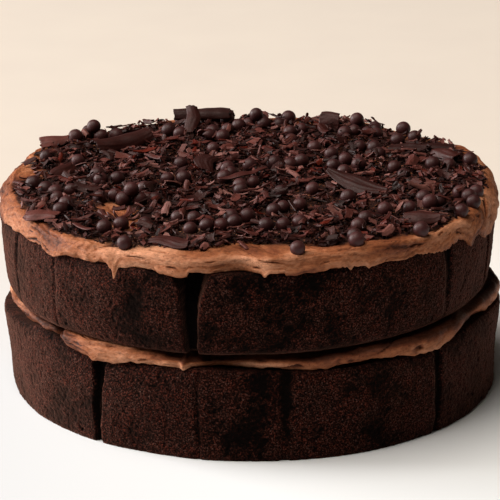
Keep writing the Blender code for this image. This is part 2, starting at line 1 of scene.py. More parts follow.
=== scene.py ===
"""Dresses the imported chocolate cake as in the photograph: crumb, buttercream, pearls and shavings.

The frame is in metres, +Z up, with the origin at the middle of the cake's base and the front towards -Y.
Angles are in degrees round the axis, from 0 at the front through 90 at the right to 180 at the back.
Maps are arrays of values over a surface, with a row for each height and a column for each angle.
"""

import math
import random
from typing import NamedTuple

import bmesh
import bpy
import numpy as np
from mathutils import Matrix, Vector, noise

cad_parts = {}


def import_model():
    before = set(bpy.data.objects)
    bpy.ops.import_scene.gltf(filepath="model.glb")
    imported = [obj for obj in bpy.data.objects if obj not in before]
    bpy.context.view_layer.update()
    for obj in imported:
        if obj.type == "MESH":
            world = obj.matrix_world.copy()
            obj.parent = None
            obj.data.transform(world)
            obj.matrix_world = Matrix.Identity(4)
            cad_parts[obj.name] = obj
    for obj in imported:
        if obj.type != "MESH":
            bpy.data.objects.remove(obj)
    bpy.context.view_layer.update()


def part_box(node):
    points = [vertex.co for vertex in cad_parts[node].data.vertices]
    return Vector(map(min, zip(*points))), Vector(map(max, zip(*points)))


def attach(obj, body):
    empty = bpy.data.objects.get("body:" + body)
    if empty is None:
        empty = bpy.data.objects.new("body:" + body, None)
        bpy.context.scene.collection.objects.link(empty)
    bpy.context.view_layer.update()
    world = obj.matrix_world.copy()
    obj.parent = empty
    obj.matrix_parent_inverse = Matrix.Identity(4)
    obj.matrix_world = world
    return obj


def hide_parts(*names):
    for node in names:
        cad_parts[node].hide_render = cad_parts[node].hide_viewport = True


MM = 0.001
# Steps of this share spread values evenly between 0 and 1
GOLDEN_SHARE = 0.618

# Heights, radii and uneven forms of the solids, in millimetres
LOWER_TOP = 36.0
FILLING_TOP = 42.2
UPPER_TOP = 76.0
CLEARANCE = 0.3
# The upper layer and what lies on it rise by this share of the way towards the right
LEAN = 0.014
SPONGE_RADIUS = 100.0
LOWER_SHIFT = 1.4
UPPER_SHIFT = -0.8
WALL_COLUMNS = 60
WALL_SWELL = 0.8
WALL_SWELL_LENGTH = 26.0
LOWER_FLAT_RADIUS = 88.0
LOWER_EDGE_RADIUS = 98.6
EDGE_CLEARANCE = 0.4
FILLING_RADIUS = 98.9
FILLING_RAGGEDNESS = 1.1
SLUMP_REACH = 16.0
FROSTING_TOP = 82.3
FROSTING_RADIUS = 100.5
FROSTING_RAGGEDNESS = 0.9
LIP_THICKNESS = 1.3
SHOULDER_RADIUS = 99.4
SHOULDER_WAVER = 0.8
SHOULDER_WAVER_LENGTH = 18.0
LEAST_LAP = 0.1
LIP_CLEARANCE = 0.4
LIP_FOOT = 0.8
LEAST_RETREAT = 0.05
TOP_SWELL = 0.7
TOP_SWELL_LENGTH = 26.0
SPREAD_MARKS = 0.5
SPREAD_MARK_LENGTH = 9.0
CROWN = 1.8
# How strongly a wall's flare and its edge's rise keep to its upper part, as powers of the height
FLARE_CURVE = 3
EDGE_CURVE = 6

# Toppings, as in part.py
SEED = 7
PEARL_RADIUS = 3.1
PEARL_SUNK = 1.2
PEARL_HEAP_RISE = 4.2
HEAPED_FROM = 5
SINGLE_PEARLS = 21
SINGLE_SPACING = 9.0
TOPPED_RADIUS = 90.0
SHAVING_THICKNESS = 0.9
FLAKES = 97
FLAKE_LENGTH = (4.5, 9.0)
FLAKE_THICKNESS = 0.8
FLAKE_TILT = (14.0, 46.0)
FLAKE_ROLL = 22.0
FLAKE_SPACING = 6.0


class Crease(NamedTuple):
    """A fold that the paper of the tin pressed into a sponge's wall, from its top edge to its bottom edge.

    The foot share is how much of its depth is left at the bottom.
    """

    angle: float
    top_width: float
    bottom_width: float
    depth: float
    foot_share: float = 0.6


class Layer(NamedTuple):
    """One sponge layer.

    Each row of its profile is a height above its bottom and how far the wall lies in there. The edge rises
    are stretches where its top edge stands up or hangs down, and the flares are where its wall leans out.
    """

    node: str
    shift: float
    bottom: float
    top: float
    lean: float
    profile: tuple
    creases: tuple
    edge_rises: tuple
    flares: tuple
    seed: int


class Bulge(NamedTuple):
    """A stretch of an edge that stands out by size at its middle, or lies back where size is negative."""

    angle: float
    spread: float
    size: float


class Shaving(NamedTuple):
    """A long thin shaving, as a plate bent round its length, with its place, sizes and angles."""

    node: str
    x: float
    y: float
    heading: float
    length: float
    width: float
    bend: float
    roll: float
    pitch: float
    taper: float


def rows_of(kind, *rows):
    """One thing of this kind for each row of its values."""
    return tuple(kind(*row) for row in rows)


LOWER_LAYER = Layer(
    node="sponge_lower",
    shift=LOWER_SHIFT,
    bottom=0.0,
    top=LOWER_TOP,
    lean=0.0,
    profile=((0.0, 0.7), (1.4, 0.1), (10.0, 0.0), (21.0, -0.4), (32.0, 0.1), (34.8, 0.6), (36.0, 1.9)),
    creases=rows_of(
        Crease,
        (-37.4, 5.2, 2.8, 3.2), (-12.5, 1.6, 2, 1), (7, 7, 5, 1.3), (46.5, 4.2, 3.4, 1.8),
        (83, 3.4, 2.6, 1.4), (124, 3.6, 2.4, 2.4), (168, 2.6, 2.2, 1.6), (206, 4.2, 2.6, 2.8),
        (251, 2.8, 2.4, 2),
    ),
    edge_rises=rows_of(
        Bulge,
        (-57, 8, 1.8), (-38, 8, -2.4), (-14, 7, 0.8), (2, 7, 0.6), (17, 9, -0.6), (45, 8, -1.8),
        (67, 9, 1.7), (108, 10, -1.6), (147, 9, 1.4), (188, 10, -1.8), (226, 9, 1.2),
        (258, 10, -1.4),
    ),
    flares=rows_of(Bulge, (-78, 16, 4.2), (84, 16, 3), (170, 22, 1)),
    seed=11,
)
UPPER_LAYER = Layer(
    node="sponge_upper",
    shift=UPPER_SHIFT,
    bottom=FILLING_TOP + CLEARANCE,
    top=UPPER_TOP,
    lean=LEAN,
    profile=((0.0, 4.4), (1.5, 2.0), (5.0, 0.5), (20.0, -0.7), (30.0, 0.1), (32.5, 0.7), (33.5, 1.9)),
    creases=rows_of(
        Crease,
        (-67, 3.8, 3, 0.9), (-49, 2, 1.6, 0.5), (-12.8, 8.4, 4.2, 6.8), (51, 4.6, 2, 1.7, 0.1),
        (72, 3.2, 2.4, 1.2), (110, 3, 2, 2), (149, 6, 2.6, 3.4), (193, 2.6, 2, 1.8),
        (238, 4, 2.2, 2.4),
    ),
    edge_rises=(),
    flares=rows_of(Bulge, (-86, 20, 1.3), (88, 26, 2.6)),
    seed=12,
)
FILLING_BULGES = rows_of(
    Bulge,
    (-66, 9, -1.8), (-51.5, 3, -2), (-38, 12, 2.4), (-5, 8.5, -6.5), (9, 7, -2.4), (44, 11, 2.6),
    (63, 6, -1.4), (86, 13, 2.8), (128, 14, -2.2), (162, 18, 2), (204, 11, -2.8), (236, 15, 1.8),
)
# Where the filling's edge lies lower under the upper layer, as shares of its thickness
FILLING_SLUMPS = rows_of(
    Bulge,
    (-8, 14, 0.45), (12, 8, 0.25), (63, 5, 0.2), (128, 12, 0.3), (204, 12, 0.4),
)
LIP_LAPS = rows_of(
    Bulge,
    (-86, 10, 2.4), (-49, 4, 1.8), (-36, 3, 1.4), (-16.5, 4.5, 1.6), (8, 3.5, 0.8), (47, 6, 1.4),
    (70, 8, 6), (98, 10, 1.6), (140, 12, 3.2), (183, 9, 1.6), (228, 11, 3),
)

# Where the frosting's top reaches less far out
SHOULDER_BULGES = rows_of(Bulge, (86, 16, -1.4))

# Where the frosting stands higher towards its edge
TOP_RISES = rows_of(Bulge, (-108, 24, 4.2), (108, 14, 2.8))

# Where the frosting's edge lies back on the upper layer's top
LIP_RETREATS = rows_of(Bulge, (-3, 5, 4.6), (162, 6, 3.6), (208, 5, 3))

# Where the frosting's rim and the filling are paler or darker, as shares of their tone: painted light and
# painted shade where the lights fall more or less strongly round the cake, and partly the cream's own paler
# stretches
RIM_TONES_LIGHT_AND_SHADE = rows_of(
    Bulge,
    (-88, 26, -0.3), (-52, 11, -0.2), (-28, 14, 0.32), (3.4, 1.2, 0.2), (12, 20, 0.12),
)
FILLING_TONES_LIGHT_AND_SHADE = rows_of(Bulge, (-66, 24, -0.13), (-25, 12, 0.24), (50, 40, -0.08))

# Narrow tears and hanging tags of the buttercream, too fine for the solids
FILLING_TEARS = rows_of(Bulge, (-50.6, 0.9, -5), (-14.8, 0.8, 3.2), (133, 1.2, -3), (212, 1, 2))
LIP_TAGS = rows_of(
    Bulge,
    (-34.2, 1.5, -1.3), (-31.1, 0.5, 6.4), (-32.2, 0.5, 1.5), (3.2, 0.6, 1.6), (27, 0.5, 1),
    (59.5, 1.8, 3.6), (118, 0.7, 2.6), (171, 0.6, 2.2), (243, 0.6, 3),
)
# How far out of the wall a tag stands for each millimetre that it hangs down
TAG_REACH = 0.14

# Where pearls lie together: x and y in millimetres from the axis, and how many
PEARL_GROUPS = (
    (-70, 62, 6), (-72, -18, 4), (-73, -36, 2), (-54, -4, 3), (-44, -32, 5), (-28, -57, 2),
    (-23, -71, 2), (-6, -64, 4), (-30, 86, 1), (-10, 86, 3), (-35, 66, 2), (-16, 63, 3),
    (-27, -5, 2), (-8, 1, 3), (6, 76, 5), (22, 66, 2), (10, 14, 3), (-4, -16, 3), (47, 69, 5),
    (54, 58, 3), (46, 38, 2), (82, 11, 2), (84, -26, 4), (69, -34, 2), (13, -44, 3), (13, -66, 3),
    (40, -79, 4), (-50, -64, 2), (-85, 27, 1), (66, 67, 1), (91, 16, 1), (18, -94, 1),
    (-48, -83, 1), (-88, -8, 1), (66, -71, 1), (39, -34, 1), (53, -49, 1), (63, -47, 1),
    (45, -59, 1), (42, -68, 1), (83, -49, 1), (75, -38, 1),
)
SHAVINGS = rows_of(
    Shaving,
    ("shaving_back_bar", -21, 83, 2, 25, 9, 150, 20, 0, 0.0),
    ("shaving_back_post", -25, 72, 88, 15, 6, 40, 0, 37, 0.2),
    ("shaving_left_curl", -54, 43, 31, 27, 14, 170, 10, 4, 0.35),
    ("shaving_left_rim", -83, 46, 6, 13, 7, 70, 25, 4, 0.3),
    ("shaving_left_plate", -77, 8, 62, 14, 6, 30, 24, 8, 0.5),
    ("shaving_right_leaf", 43, -19, -36, 30, 9, 45, 22, -6, 0.8),
    ("shaving_back_curl", 34, 71, -15, 9, 10, 120, 50, 0, 0.2),
    ("shaving_right_bar", 72, 37, -4, 28, 6, 60, 14, 2, 0.0),
    ("shaving_right_scroll", 81, 22, -55, 16, 9, 110, 20, 4, 0.4),
    ("shaving_middle_leaf", -3, -8, 22, 22, 7, 40, -14, 6, 0.7),
    ("shaving_middle_plate", -18, 11, 75, 13, 9, 30, 16, 10, 0.2),
    ("shaving_front_plate", -31, -84, -26, 18, 8, 35, 12, 6, 0.5),
    ("shaving_front_left", -64, -67, -48, 13, 6, 60, -20, 4, 0.5),
    ("shaving_rim_left", -82, -48, -30, 15, 9, 50, 14, 5, 0.4),
    ("shaving_front_right", 67, -59, -10, 15, 7, 90, 30, 4, 0.6),
)

# How far from the axis the small toppings reach, and where they reach less far
TOPPING_EDGE = 96.5
TOPPING_RETREATS = rows_of(
    Bulge,
    (3, 20, -13.5), (105, 12, -3.5), (127, 10, -3), (166, 9, -9), (-157, 6, -5), (-98, 8, -8),
)
# Bare places in the toppings: x, y and radius
BARE_PATCHES = (
    (-52, -43, 11), (-19, -36, 6), (26, -27, 6), (22, 92, 12), (72, 64, 8), (-92, 8, 9),
    (-86, 30, 5), (-46, -60, 7), (28, -14, 5), (29, -41, 6), (-29, 32, 5), (36, -36, 4),
)
# How thickly toppings still lie in a bare place
BARE_SHARE = 0.06

# A pearl further from the axis than this has nothing to lie on, and the solid leaves it out too
FURTHEST_PEARL = 99.0

# How much wider a crease of a millimetre's depth opens at its layer's upper edge
CREASE_OPENING = 0.11

# A crease's line wavers by up to this much at so many heights, and its edges crumble
CREASE_WAVER = 0.5
WAVER_HEIGHTS = 6
CREASE_RAGGEDNESS = 0.14

# The sponge's crumb: each kind of grain's height and size, and each kind of pore's depth, size, the value of
# its map that it starts from, and how far over that it goes on deepening
CRUMB_GRAINS = ((0.06, 0.9), (0.04, 2.4), (0.12, 10.0))
CRUMB_PORES = ((0.22, 0.95, 0.8, 1.3), (0.6, 1.8, 2.6, 1.0))

# The rings across a sponge layer's bottom and top, as shares of its radius
CAP_RINGS = (0.88, 0.5, 0.08)

# The cream's smears: where one ends on the next, as values of their map, and how far their streaks bend
SMEAR_EDGES = (-0.9, -0.1, 0.8)
SMEAR_SWEEP = 2.4
# Half the width of a smear's edge, and the width of a crease between two folds, as values of their maps
SMEAR_EDGE_WIDTH = 0.07
FOLD_CREASE_WIDTH = 0.08

# The share of the filling's height from which its top lies back where its edge slumps
SLUMP_FROM = 0.84
# The angles between which the filling's upper edge lies in the shade of the upper layer, each with its fade
SHADE_STARTS = (-27.0, -14.0)
SHADE_ENDS = (105.0, 90.0)
# How much of the cream's colour the painted shade in that gap takes away
GAP_SHADE = 0.9

# Cells of the maps, and how many rings the cream's parts have
WALL_CELL = 0.5
CREAM_CELL = 0.55
BED_CELL = 0.5
SHAVING_CELL = 0.5
FILLING_RINGS = 34
RIM_RINGS = 24
TOP_RINGS = 45

# The radii where the fine rings of the filling and of the frosting's top end
FILLING_INNER_RADIUS = 44.0
TOP_INNER_RADIUS = 64.0
# The coarser rings inside them on the frosting's top: a point for every so many columns, and the radius
TOP_INNER_RINGS = ((2, 62.5), (2, 55.0), (4, 46.0), (4, 34.0), (8, 20.0), (8, 6.0))

# How uneven the chocolate is: pearls in size and form, flakes at their edges and in their curl, and the
# shavings at their ends, in their ridges and in their broad waves
PEARL_SIZES = (0.92, 1.06)
PEARL_UNEVENNESS = 0.022
FLAKE_BREAKS = 0.25
FLAKE_CURL = 0.35
SHAVING_CHIPS = 0.5
SHAVING_RIDGES = 0.10
SHAVING_WAVES = 0.22
# How far a shaving's bend sways to both sides, in radians, and how late its taper sets in, as a power
SHAVING_SWAY = 0.10
SHAVING_TAPER_CURVE = 2.5

# Steps along and across the small slabs of chocolate
FLAKE_STEPS, FLAKE_SIDES = 8, 5
PLATE_STEPS, PLATE_SIDES = 4, 4
SPLINTER_STEPS = 3
# How often a ball's triangles are divided
BALL_DETAIL = 3

# Small loose toppings: how many of each are wanted, and the tries for each of them
CRUMBS = 7000
SHARDS = 170
SPLINTERS = 1200
PLATES = 1300
TRIES = 12
# How high they may pile up over the buttercream, also beside pearls, and how often one may lie on a pearl
PILE_HEIGHT = 2.5
PILE_BY_PEARLS = 0.8
PEARL_COVERED = 0.04
# How far over the cream a pearl has to stand for a piece there to count as lying on it
PEARL_FROM = 1.2
# How strongly a piece is tumbled, in radians, how often so, how far it may lean and the room that it leaves
TUMBLES = (0.12, 0.45)
TUMBLE_SHARES = (0.6, 0.4)
MOST_LEAN = 0.9
PIECE_ROOM = 0.25
# How far apart the points are where a piece is tested against what is under it
SAMPLE_GAP = 0.6

# How far the bed of the toppings reaches, and its height where there is no cream
BED_REACH = 105.0
NO_CREAM = -1000.0


def turned(angle):
    """The angle as a turn between -180 and 180 degrees."""
    return (angle + 180.0) % 360.0 - 180.0


def mixed(low, high, share):
    """The value that lies this share of the way from low to high."""
    return low + (high - low) * share


def around(angle, radius, height):
    """The point at this angle from the front, this far from the axis."""
    turn = math.radians(angle)
    return Vector((radius * math.sin(turn), -radius * math.cos(turn), height))


def ripple(point, length, seed=0.0):
    """A smooth value between -1 and 1 that changes over about this length."""
    return noise.noise(point / length + Vector((seed, 2.0 * seed, 0.0)))


def bulge_at(angle, bulges):
    """How far an edge with these bulges stands out at this angle."""
    return sum(b.size * math.exp(-((turned(angle - b.angle) / b.spread) ** 2)) for b in bulges)


def bulges_at(angles, bulges):
    """How far the edge stands out at each of the angles."""
    return np.array([bulge_at(angle, bulges) for angle in angles])


def angles_round(radius, cell, step):
    """Angles all the way round, about a cell apart at this radius. Their number is a multiple of the step."""
    columns = step * round(math.tau * radius / cell / step)
    return np.arange(columns) * 360.0 / columns


def place_in_disc(reach, rng):
    """A random place less than this far from the axis, equally likely everywhere there."""
    radius = reach * math.sqrt(rng.random())
    heading = rng.uniform(0.0, math.tau)
    return radius * math.cos(heading), radius * math.sin(heading)


def points_at(x, y, z):
    """A map of points, from maps or single values of their coordinates."""
    return np.stack(np.broadcast_arrays(x, y, z), -1)


def turn_matrix(heading, pitch, roll):
    """A turn by these angles, in radians: first the roll, then the pitch, then the heading."""
    turn = Matrix.Rotation(heading, 3, "Z") @ Matrix.Rotation(-pitch, 3, "Y") @ Matrix.Rotation(roll, 3, "X")
    return np.array(turn)


def ramp(values, low, high):
    """Values as a smooth share from 0 at low to 1 at high."""
    share = np.clip((values - low) / (high - low), 0.0, 1.0)
    return share * share * (3.0 - 2.0 * share)


def grain_map(shape, cell, size, rng, along=1.0):
    """Random relief with a spread of 1, in grains of this size that are stretched along the rows."""
    rows, columns = shape
    up = np.fft.fftfreq(rows, cell)[:, None] * size
    side = np.fft.fftfreq(columns, cell)[None, :] * size * along
    kept = np.exp(-3.0 * (up**2 + side**2))
    relief = np.fft.ifft2(np.fft.fft2(rng.standard_normal(shape)) * kept).real
    return relief / relief.std()


def rounded(outline, times=3):
    """The open outline with its corners cut this many times."""
    points = np.array(outline, float)
    for _ in range(times):
        starts, ends = points[:-1], points[1:]
        cut = np.stack([0.75 * starts + 0.25 * ends, 0.25 * starts + 0.75 * ends], 1)
        points = np.concatenate([points[:1], cut.reshape(-1, points.shape[1]), points[-1:]])
    return points


def evenly(outline, rows):
    """This many points, evenly spaced along the outline."""
    run = np.concatenate([[0.0], np.cumsum(np.linalg.norm(np.diff(outline, axis=0), axis=1))])
    places = np.linspace(0.0, run[-1], rows)
    return np.stack([np.interp(places, run, column) for column in outline.T], 1)


# Materials


class Look:
    """A node material under construction. Lengths are in millimetres of the object's own space."""

    def __init__(self, name):
        self.material = bpy.data.materials.new(name)
        self.material.use_nodes = True
        self.tree = self.material.node_tree
        self.shader = self.tree.nodes["Principled BSDF"]
        self.place = self.node("ShaderNodeTexCoord").outputs["Object"]

    def node(self, kind, **values):
        node = self.tree.nodes.new(kind)
        for name, value in values.items():
            setattr(node, name, value)
        return node

    def give(self, source, target):
        """Links the target to a socket, or sets it to a value."""
        if isinstance(source, bpy.types.NodeSocket):
            self.tree.links.new(source, target)
        else:
            target.default_value = source

    def set(self, **sources):
        """Gives the shader's own sockets what they need, such as Sheen_Weight=0.2."""
        for name, source in sources.items():
            self.give(source, self.shader.inputs[name.replace("_", " ")])

    def noise(self, size, detail=3.0, roughness=0.55, place=None):
        """Noise in grains of about this size."""
        node = self.node("ShaderNodeTexNoise")
        node.inputs["Scale"].default_value = 1.0 / (size * MM)
        node.inputs["Detail"].default_value = detail
        node.inputs["Roughness"].default_value = roughness
        self.give(place or self.place, node.inputs["Vector"])
        return node.outputs["Fac"]

    def math(self, operation, one, other=0.0):
        """One value combined with the other. Other is a number or a socket."""
        node = self.node("ShaderNodeMath", operation=operation)
        self.give(one, node.inputs[0])
        self.give(other, node.inputs[1])
        return node.outputs[0]

    def run_round(self, stretch):
        """The place as its run round the cake divided by stretch, its height and its reach from the axis."""
        split = self.node("ShaderNodeSeparateXYZ")
        self.give(self.place, split.inputs["Vector"])
        x, y, z = split.outputs
        angle = self.math("ARCTAN2", x, self.math("MULTIPLY", y, -1.0))
        reach = self.math("SQRT", self.math("ADD", self.math("POWER", x, 2.0), self.math("POWER", y, 2.0)))
        joined = self.node("ShaderNodeCombineXYZ")
        run = self.math("MULTIPLY", angle, SPONGE_RADIUS * MM / stretch)
        for source, target in zip((run, z, reach), joined.inputs):
            self.give(source, target)
        return joined.outputs["Vector"]

    def cells(self, size):
        """The distance to the nearest of many scattered points, about this far apart."""
        node = self.node("ShaderNodeTexVoronoi")
        node.inputs["Scale"].default_value = 1.0 / (size * MM)
        self.give(self.place, node.inputs["Vector"])
        return node.outputs["Distance"]

    def attribute(self, name):
        """A value that the mesh has at each of its points."""
        return self.node("ShaderNodeAttribute", attribute_name=name).outputs["Fac"]

    def ramp(self, value, *stops):
        """A colour ramp over value. Each stop is a place and a colour or a grey."""
        node = self.node("ShaderNodeValToRGB")
        elements = node.color_ramp.elements
        while len(elements) < len(stops):
            elements.new(0.5)
        for element, (place, colour) in zip(elements, stops):
            element.position = place
            element.color = (*colour, 1.0) if isinstance(colour, tuple) else (colour, colour, colour, 1.0)
        self.give(value, node.inputs["Fac"])
        return node.outputs["Color"]

    def mix(self, one, other, share, how="MIX"):
        """One colour mixed with the other, by a share of the other."""
        node = self.node("ShaderNodeMix", data_type="RGBA", blend_type=how)
        colours = [socket for socket in node.inputs if socket.type == "RGBA"]
        for source, target in zip((share, one, other), (node.inputs["Factor"], *colours)):
            self.give(source, target)
        return next(socket for socket in node.outputs if socket.type == "RGBA")

    def darkened(self, colour, *shades):
        """The colour multiplied by each of the shades."""
        for shade in shades:
            colour = self.mix(colour, shade, 1.0, "MULTIPLY")
        return colour

    def bump(self, height, depth):
        """Bumps of this depth, over any that are there already."""
        node = self.node("ShaderNodeBump")
        node.inputs["Distance"].default_value = depth * MM
        self.give(height, node.inputs["Height"])
        last = self.shader.inputs["Normal"]
        if last.links:
            self.give(last.links[0].from_socket, node.inputs["Normal"])
        self.give(node.outputs["Normal"], last)


def sponge_look():
    """Dark fine crumb: reddish brown grains with small pores painted black as their shade, painted shade in
    its hollows and creases, pale raised grains that are partly painted glints, dry, with a few moist glints.
    """
    look = Look("sponge")
    shade, middle, light = (0.003, 0.0007, 0.0005), (0.020, 0.0052, 0.0034), (0.104, 0.0320, 0.0220)
    grains = look.ramp(look.noise(0.7, detail=2.0), (0.38, shade), (0.50, middle), (0.66, light))
    # Painted shade: the colour is darkened almost to black in small pores, as the shade inside the crumb's
    # holes
    pore_shade = look.ramp(look.cells(0.9), (0.18, 0.02), (0.36, 1.0))
    specks = look.ramp(look.noise(0.42, detail=1.0), (0.38, 0.25), (0.56, 1.0))
    # Painted shade: the colour darkens where the crumb's relief lies low and in the creases, as the shade in
    # its hollows
    relief = look.ramp(look.attribute("relief"), (0.02, 0.01), (0.50, 1.0))
    patches = look.ramp(look.noise(6.0), (0.36, (0.72, 0.76, 0.76)), (0.62, (1.0, 0.72, 0.64)))
    colour = look.darkened(grains, pore_shade, specks, relief, patches)
    # Pale grains on the raised crumbs: partly the crumb's own dry grains, partly painted glints where the
    # light catches the raised crumbs
    dry_glint_grains = look.ramp(look.noise(0.60, detail=1.5), (0.61, 0.0), (0.73, 0.9))
    standing_out = look.ramp(look.attribute("relief"), (0.20, 0.0), (0.50, 1.0))
    dry_glint = (0.110, 0.054, 0.043, 1.0)
    look.set(Base_Color=look.mix(colour, dry_glint, look.darkened(dry_glint_grains, standing_out)))
    look.set(Roughness=look.ramp(look.noise(0.5, detail=1.0), (0.68, 0.90), (0.76, 0.25)))
    look.bump(look.cells(0.9), 0.12)
    look.bump(look.noise(0.5, detail=2.0), 0.18)
    look.set(Specular_IOR_Level=0.04, Sheen_Weight=0.17, Sheen_Roughness=0.42)
    look.set(Sheen_Tint=(1.0, 0.44, 0.30, 1.0))
    return look.material


def cream_look():
    """Whipped chocolate buttercream: satin, with painted light where it stands out and painted shade in its
    creases, tears and air holes, with streaks, and dust that is partly painted shade among the toppings.
    """
    look = Look("buttercream")
    # The darkest tone is painted shade in creases, tears and the filling's gap; the palest is partly painted
    # light on raised marks
    crack_shade, deep = (0.050, 0.011, 0.003), (0.18, 0.050, 0.019)
    middle, pale = (0.32, 0.106, 0.042), (0.60, 0.272, 0.150)
    tone = look.ramp(look.attribute("relief"), (0.03, crack_shade), (0.25, deep), (0.50, middle), (0.90, pale))
    fine = look.noise(0.55, place=look.run_round(2.6))
    coarse = look.noise(1.5, detail=4.0, roughness=0.65, place=look.run_round(2.2))
    streaks = look.ramp(fine, (0.32, 0.72), (0.52, 1.0))
    bands = look.ramp(coarse, (0.30, 0.60), (0.50, 0.95), (0.70, 1.0))
    # Painted shade in the cream's small air holes
    hole_shade = look.ramp(look.noise(0.7, detail=2.0), (0.27, 0.30), (0.34, 1.0))
    colour = look.darkened(tone, streaks, bands, hole_shade)
    # Dark dust among the toppings: partly chocolate dust, partly painted shade in the gaps between the pieces
    specks = look.ramp(look.noise(1.2), (0.30, 0.0), (0.42, 1.0))
    dusted_and_shaded = look.darkened(specks, look.attribute("dust"))
    look.set(Base_Color=look.mix(colour, (0.020, 0.0060, 0.0042, 1.0), dusted_and_shaded))
    look.set(Roughness=look.ramp(look.noise(1.6), (0.3, 0.50), (0.7, 0.75)))
    look.bump(look.noise(0.8, detail=4.0, roughness=0.65), 0.18)
    look.bump(fine, 0.16)
    look.bump(coarse, 0.40)
    look.set(Specular_IOR_Level=0.16, Subsurface_Weight=0.05, Subsurface_Scale=0.6 * MM)
    look.set(Subsurface_Radius=(1.0, 0.45, 0.25))
    return look.material


def chocolate_look(name, tones, roughness, bump, gloss):
    """Dark chocolate whose colour runs through the tones, each a place and a colour, from piece to piece."""
    look = Look(name)
    tone = look.ramp(look.attribute("tone"), *tones)
    dust = look.ramp(look.noise(1.4, detail=4.0), (0.35, 0.70), (0.7, 1.0))
    look.set(Base_Color=look.darkened(tone, dust))
    low, high = roughness
    look.set(Roughness=look.ramp(look.noise(0.9), (0.3, low), (0.7, high)))
    look.bump(look.noise(0.7), bump)
    look.set(Specular_IOR_Level=gloss)
    return look.material


def pearl_look():
    """Smooth satin balls, all nearly alike."""
    tones = ((0.0, (0.036, 0.0085, 0.0085)), (1.0, (0.060, 0.0160, 0.0155)))
    return chocolate_look("pearl_chocolate", tones, (0.44, 0.58), 0.08, 0.25)


def shaved_look():
    """Shavings and flakes, most of them dark, some milky brown and a few reddish, a painted glow of light
    shining through thin shavings.
    """
    tones = (
        (0.0, (0.012, 0.0020, 0.0014)), (0.40, (0.050, 0.0094, 0.0068)), (0.76, (0.120, 0.0320, 0.0245)),
        # The reddish tones at the end are a painted glow of light shining through thin shavings
        (0.94, (0.215, 0.088, 0.073)), (0.96, (0.070, 0.0060, 0.0024)), (1.0, (0.11, 0.011, 0.004)),
    )
    return chocolate_look("shaved_chocolate", tones, (0.44, 0.64), 0.14, 0.19)


def crumbled_and_shade_look():
    """Crumbs and splinters, duller than the shavings and darker, as painted shade in the gaps between the
    toppings where they lie.
    """
    tones = ((0.0, (0.008, 0.0014, 0.0010)), (0.8, (0.026, 0.0048, 0.0034)), (1.0, (0.075, 0.018, 0.013)))
    return chocolate_look("crumbled_chocolate_and_shade", tones, (0.55, 0.75), 0.10, 0.10)


def floor_look():
    """White near the cake, with painted light and shade: darker to its left, against the window's light, and
    paler to its right, where the cake's shadow falls, turning to warm cream behind it.
    """
    look = Look("floor")
    place = look.node("ShaderNodeSeparateXYZ")
    look.give(look.place, place.inputs["Vector"])
    shares = []
    for source, near, far in (("X", -0.20, 0.20), ("Y", 0.0, 0.25)):
        away = look.node("ShaderNodeMapRange")
        away.inputs["From Min"].default_value = near
        away.inputs["From Max"].default_value = far
        look.give(place.outputs[source], away.inputs["Value"])
        shares.append(away.outputs["Result"])
    # Painted light and shade: darker at the left under the window and paler at the right in the cake's
    # shadow, also on the cream behind
    front = look.ramp(shares[0], (0.0, (0.54, 0.565, 0.605)), (1.0, (0.92, 0.965, 1.0)))
    back = look.ramp(look.noise(60.0), (0.3, (0.64, 0.58, 0.52)), (0.7, (0.66, 0.60, 0.535)))
    back = look.darkened(back, look.ramp(shares[0], (0.0, 0.97), (1.0, 1.07)))
    look.set(Base_Color=look.mix(front, back, shares[1]), Roughness=0.7)
    return look.material


# Meshes


def leaned(points, lean=LEAN):
    """The points lifted towards the right and lowered towards the left, as far as the upper layer leans."""
    return points + points[:, :1] * (0.0, 0.0, lean)


def mesh_piece(name, points, faces, material, slot, nodes, smooth=True, **attributes):
    """A mesh from points in millimetres, which rides on the root body and stands for these nodes."""
    mesh = bpy.data.meshes.new(name)
    mesh.from_pydata((points * MM).tolist(), [], faces)
    if smooth:
        mesh.shade_smooth()
    for key, values in attributes.items():
        layer = mesh.attributes.new(key, "FLOAT", "POINT")
        layer.data.foreach_set("value", np.asarray(values, np.float32).ravel())
    mesh.materials.append(material)
    mesh.validate()
    obj = bpy.data.objects.new(name, mesh)
    bpy.context.scene.collection.objects.link(obj)
    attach(obj, "root")
    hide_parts(*nodes)


def ring_points(angles, radius, height):
    """Points round the axis, with a ring for each row of the maps."""
    turn = np.radians(angles)
    return points_at(radius * np.sin(turn), -radius * np.cos(turn), height)


def ring_skin(rings):
    """Faces through rings of points that follow each other. The first and last rings are filled.

    Each ring has as many points as the last, or fewer or more by a whole factor.
    """
    counts = [len(ring) for ring in rings]
    starts = np.concatenate([[0], np.cumsum(counts)])
    faces = [list(range(counts[0]))[::-1], list(range(starts[-2], starts[-1]))]
    for low, high, low_count, high_count in zip(starts, starts[1:], counts, counts[1:]):
        if low_count == high_count:
            i = np.arange(low_count)
            j = (i + 1) % low_count
            faces += np.stack([low + i, low + j, high + j, high + i], 1).tolist()
            continue
        shrinking = low_count > high_count
        many, few = (low_count, high_count) if shrinking else (high_count, low_count)
        wide, tight = (low, high) if shrinking else (high, low)
        step = many // few
        for i in range(few):
            rim = [wide + k % many for k in range(i * step, (i + 1) * step + 1)]
            face = rim + [tight + (i + 1) % few, tight + i]
            faces.append(face if shrinking else face[::-1])
    return faces


def point_values(count, first, values, rest):
    """A value for each of so many points: the map's values from the first one on, and rest for all others."""
    all_values = np.full(count, rest)
    all_values[first : first + values.size] = values.ravel()
    return all_values


def slab_points(x, y, z, thickness):
    """The points of a slab: its upper sheet, then its lower one, each half its thickness from the middle."""
    sheets = [points_at(x, y, z + 0.5 * side * thickness) for side in (1.0, -1.0)]
    return np.concatenate(sheets).reshape(-1, 3)


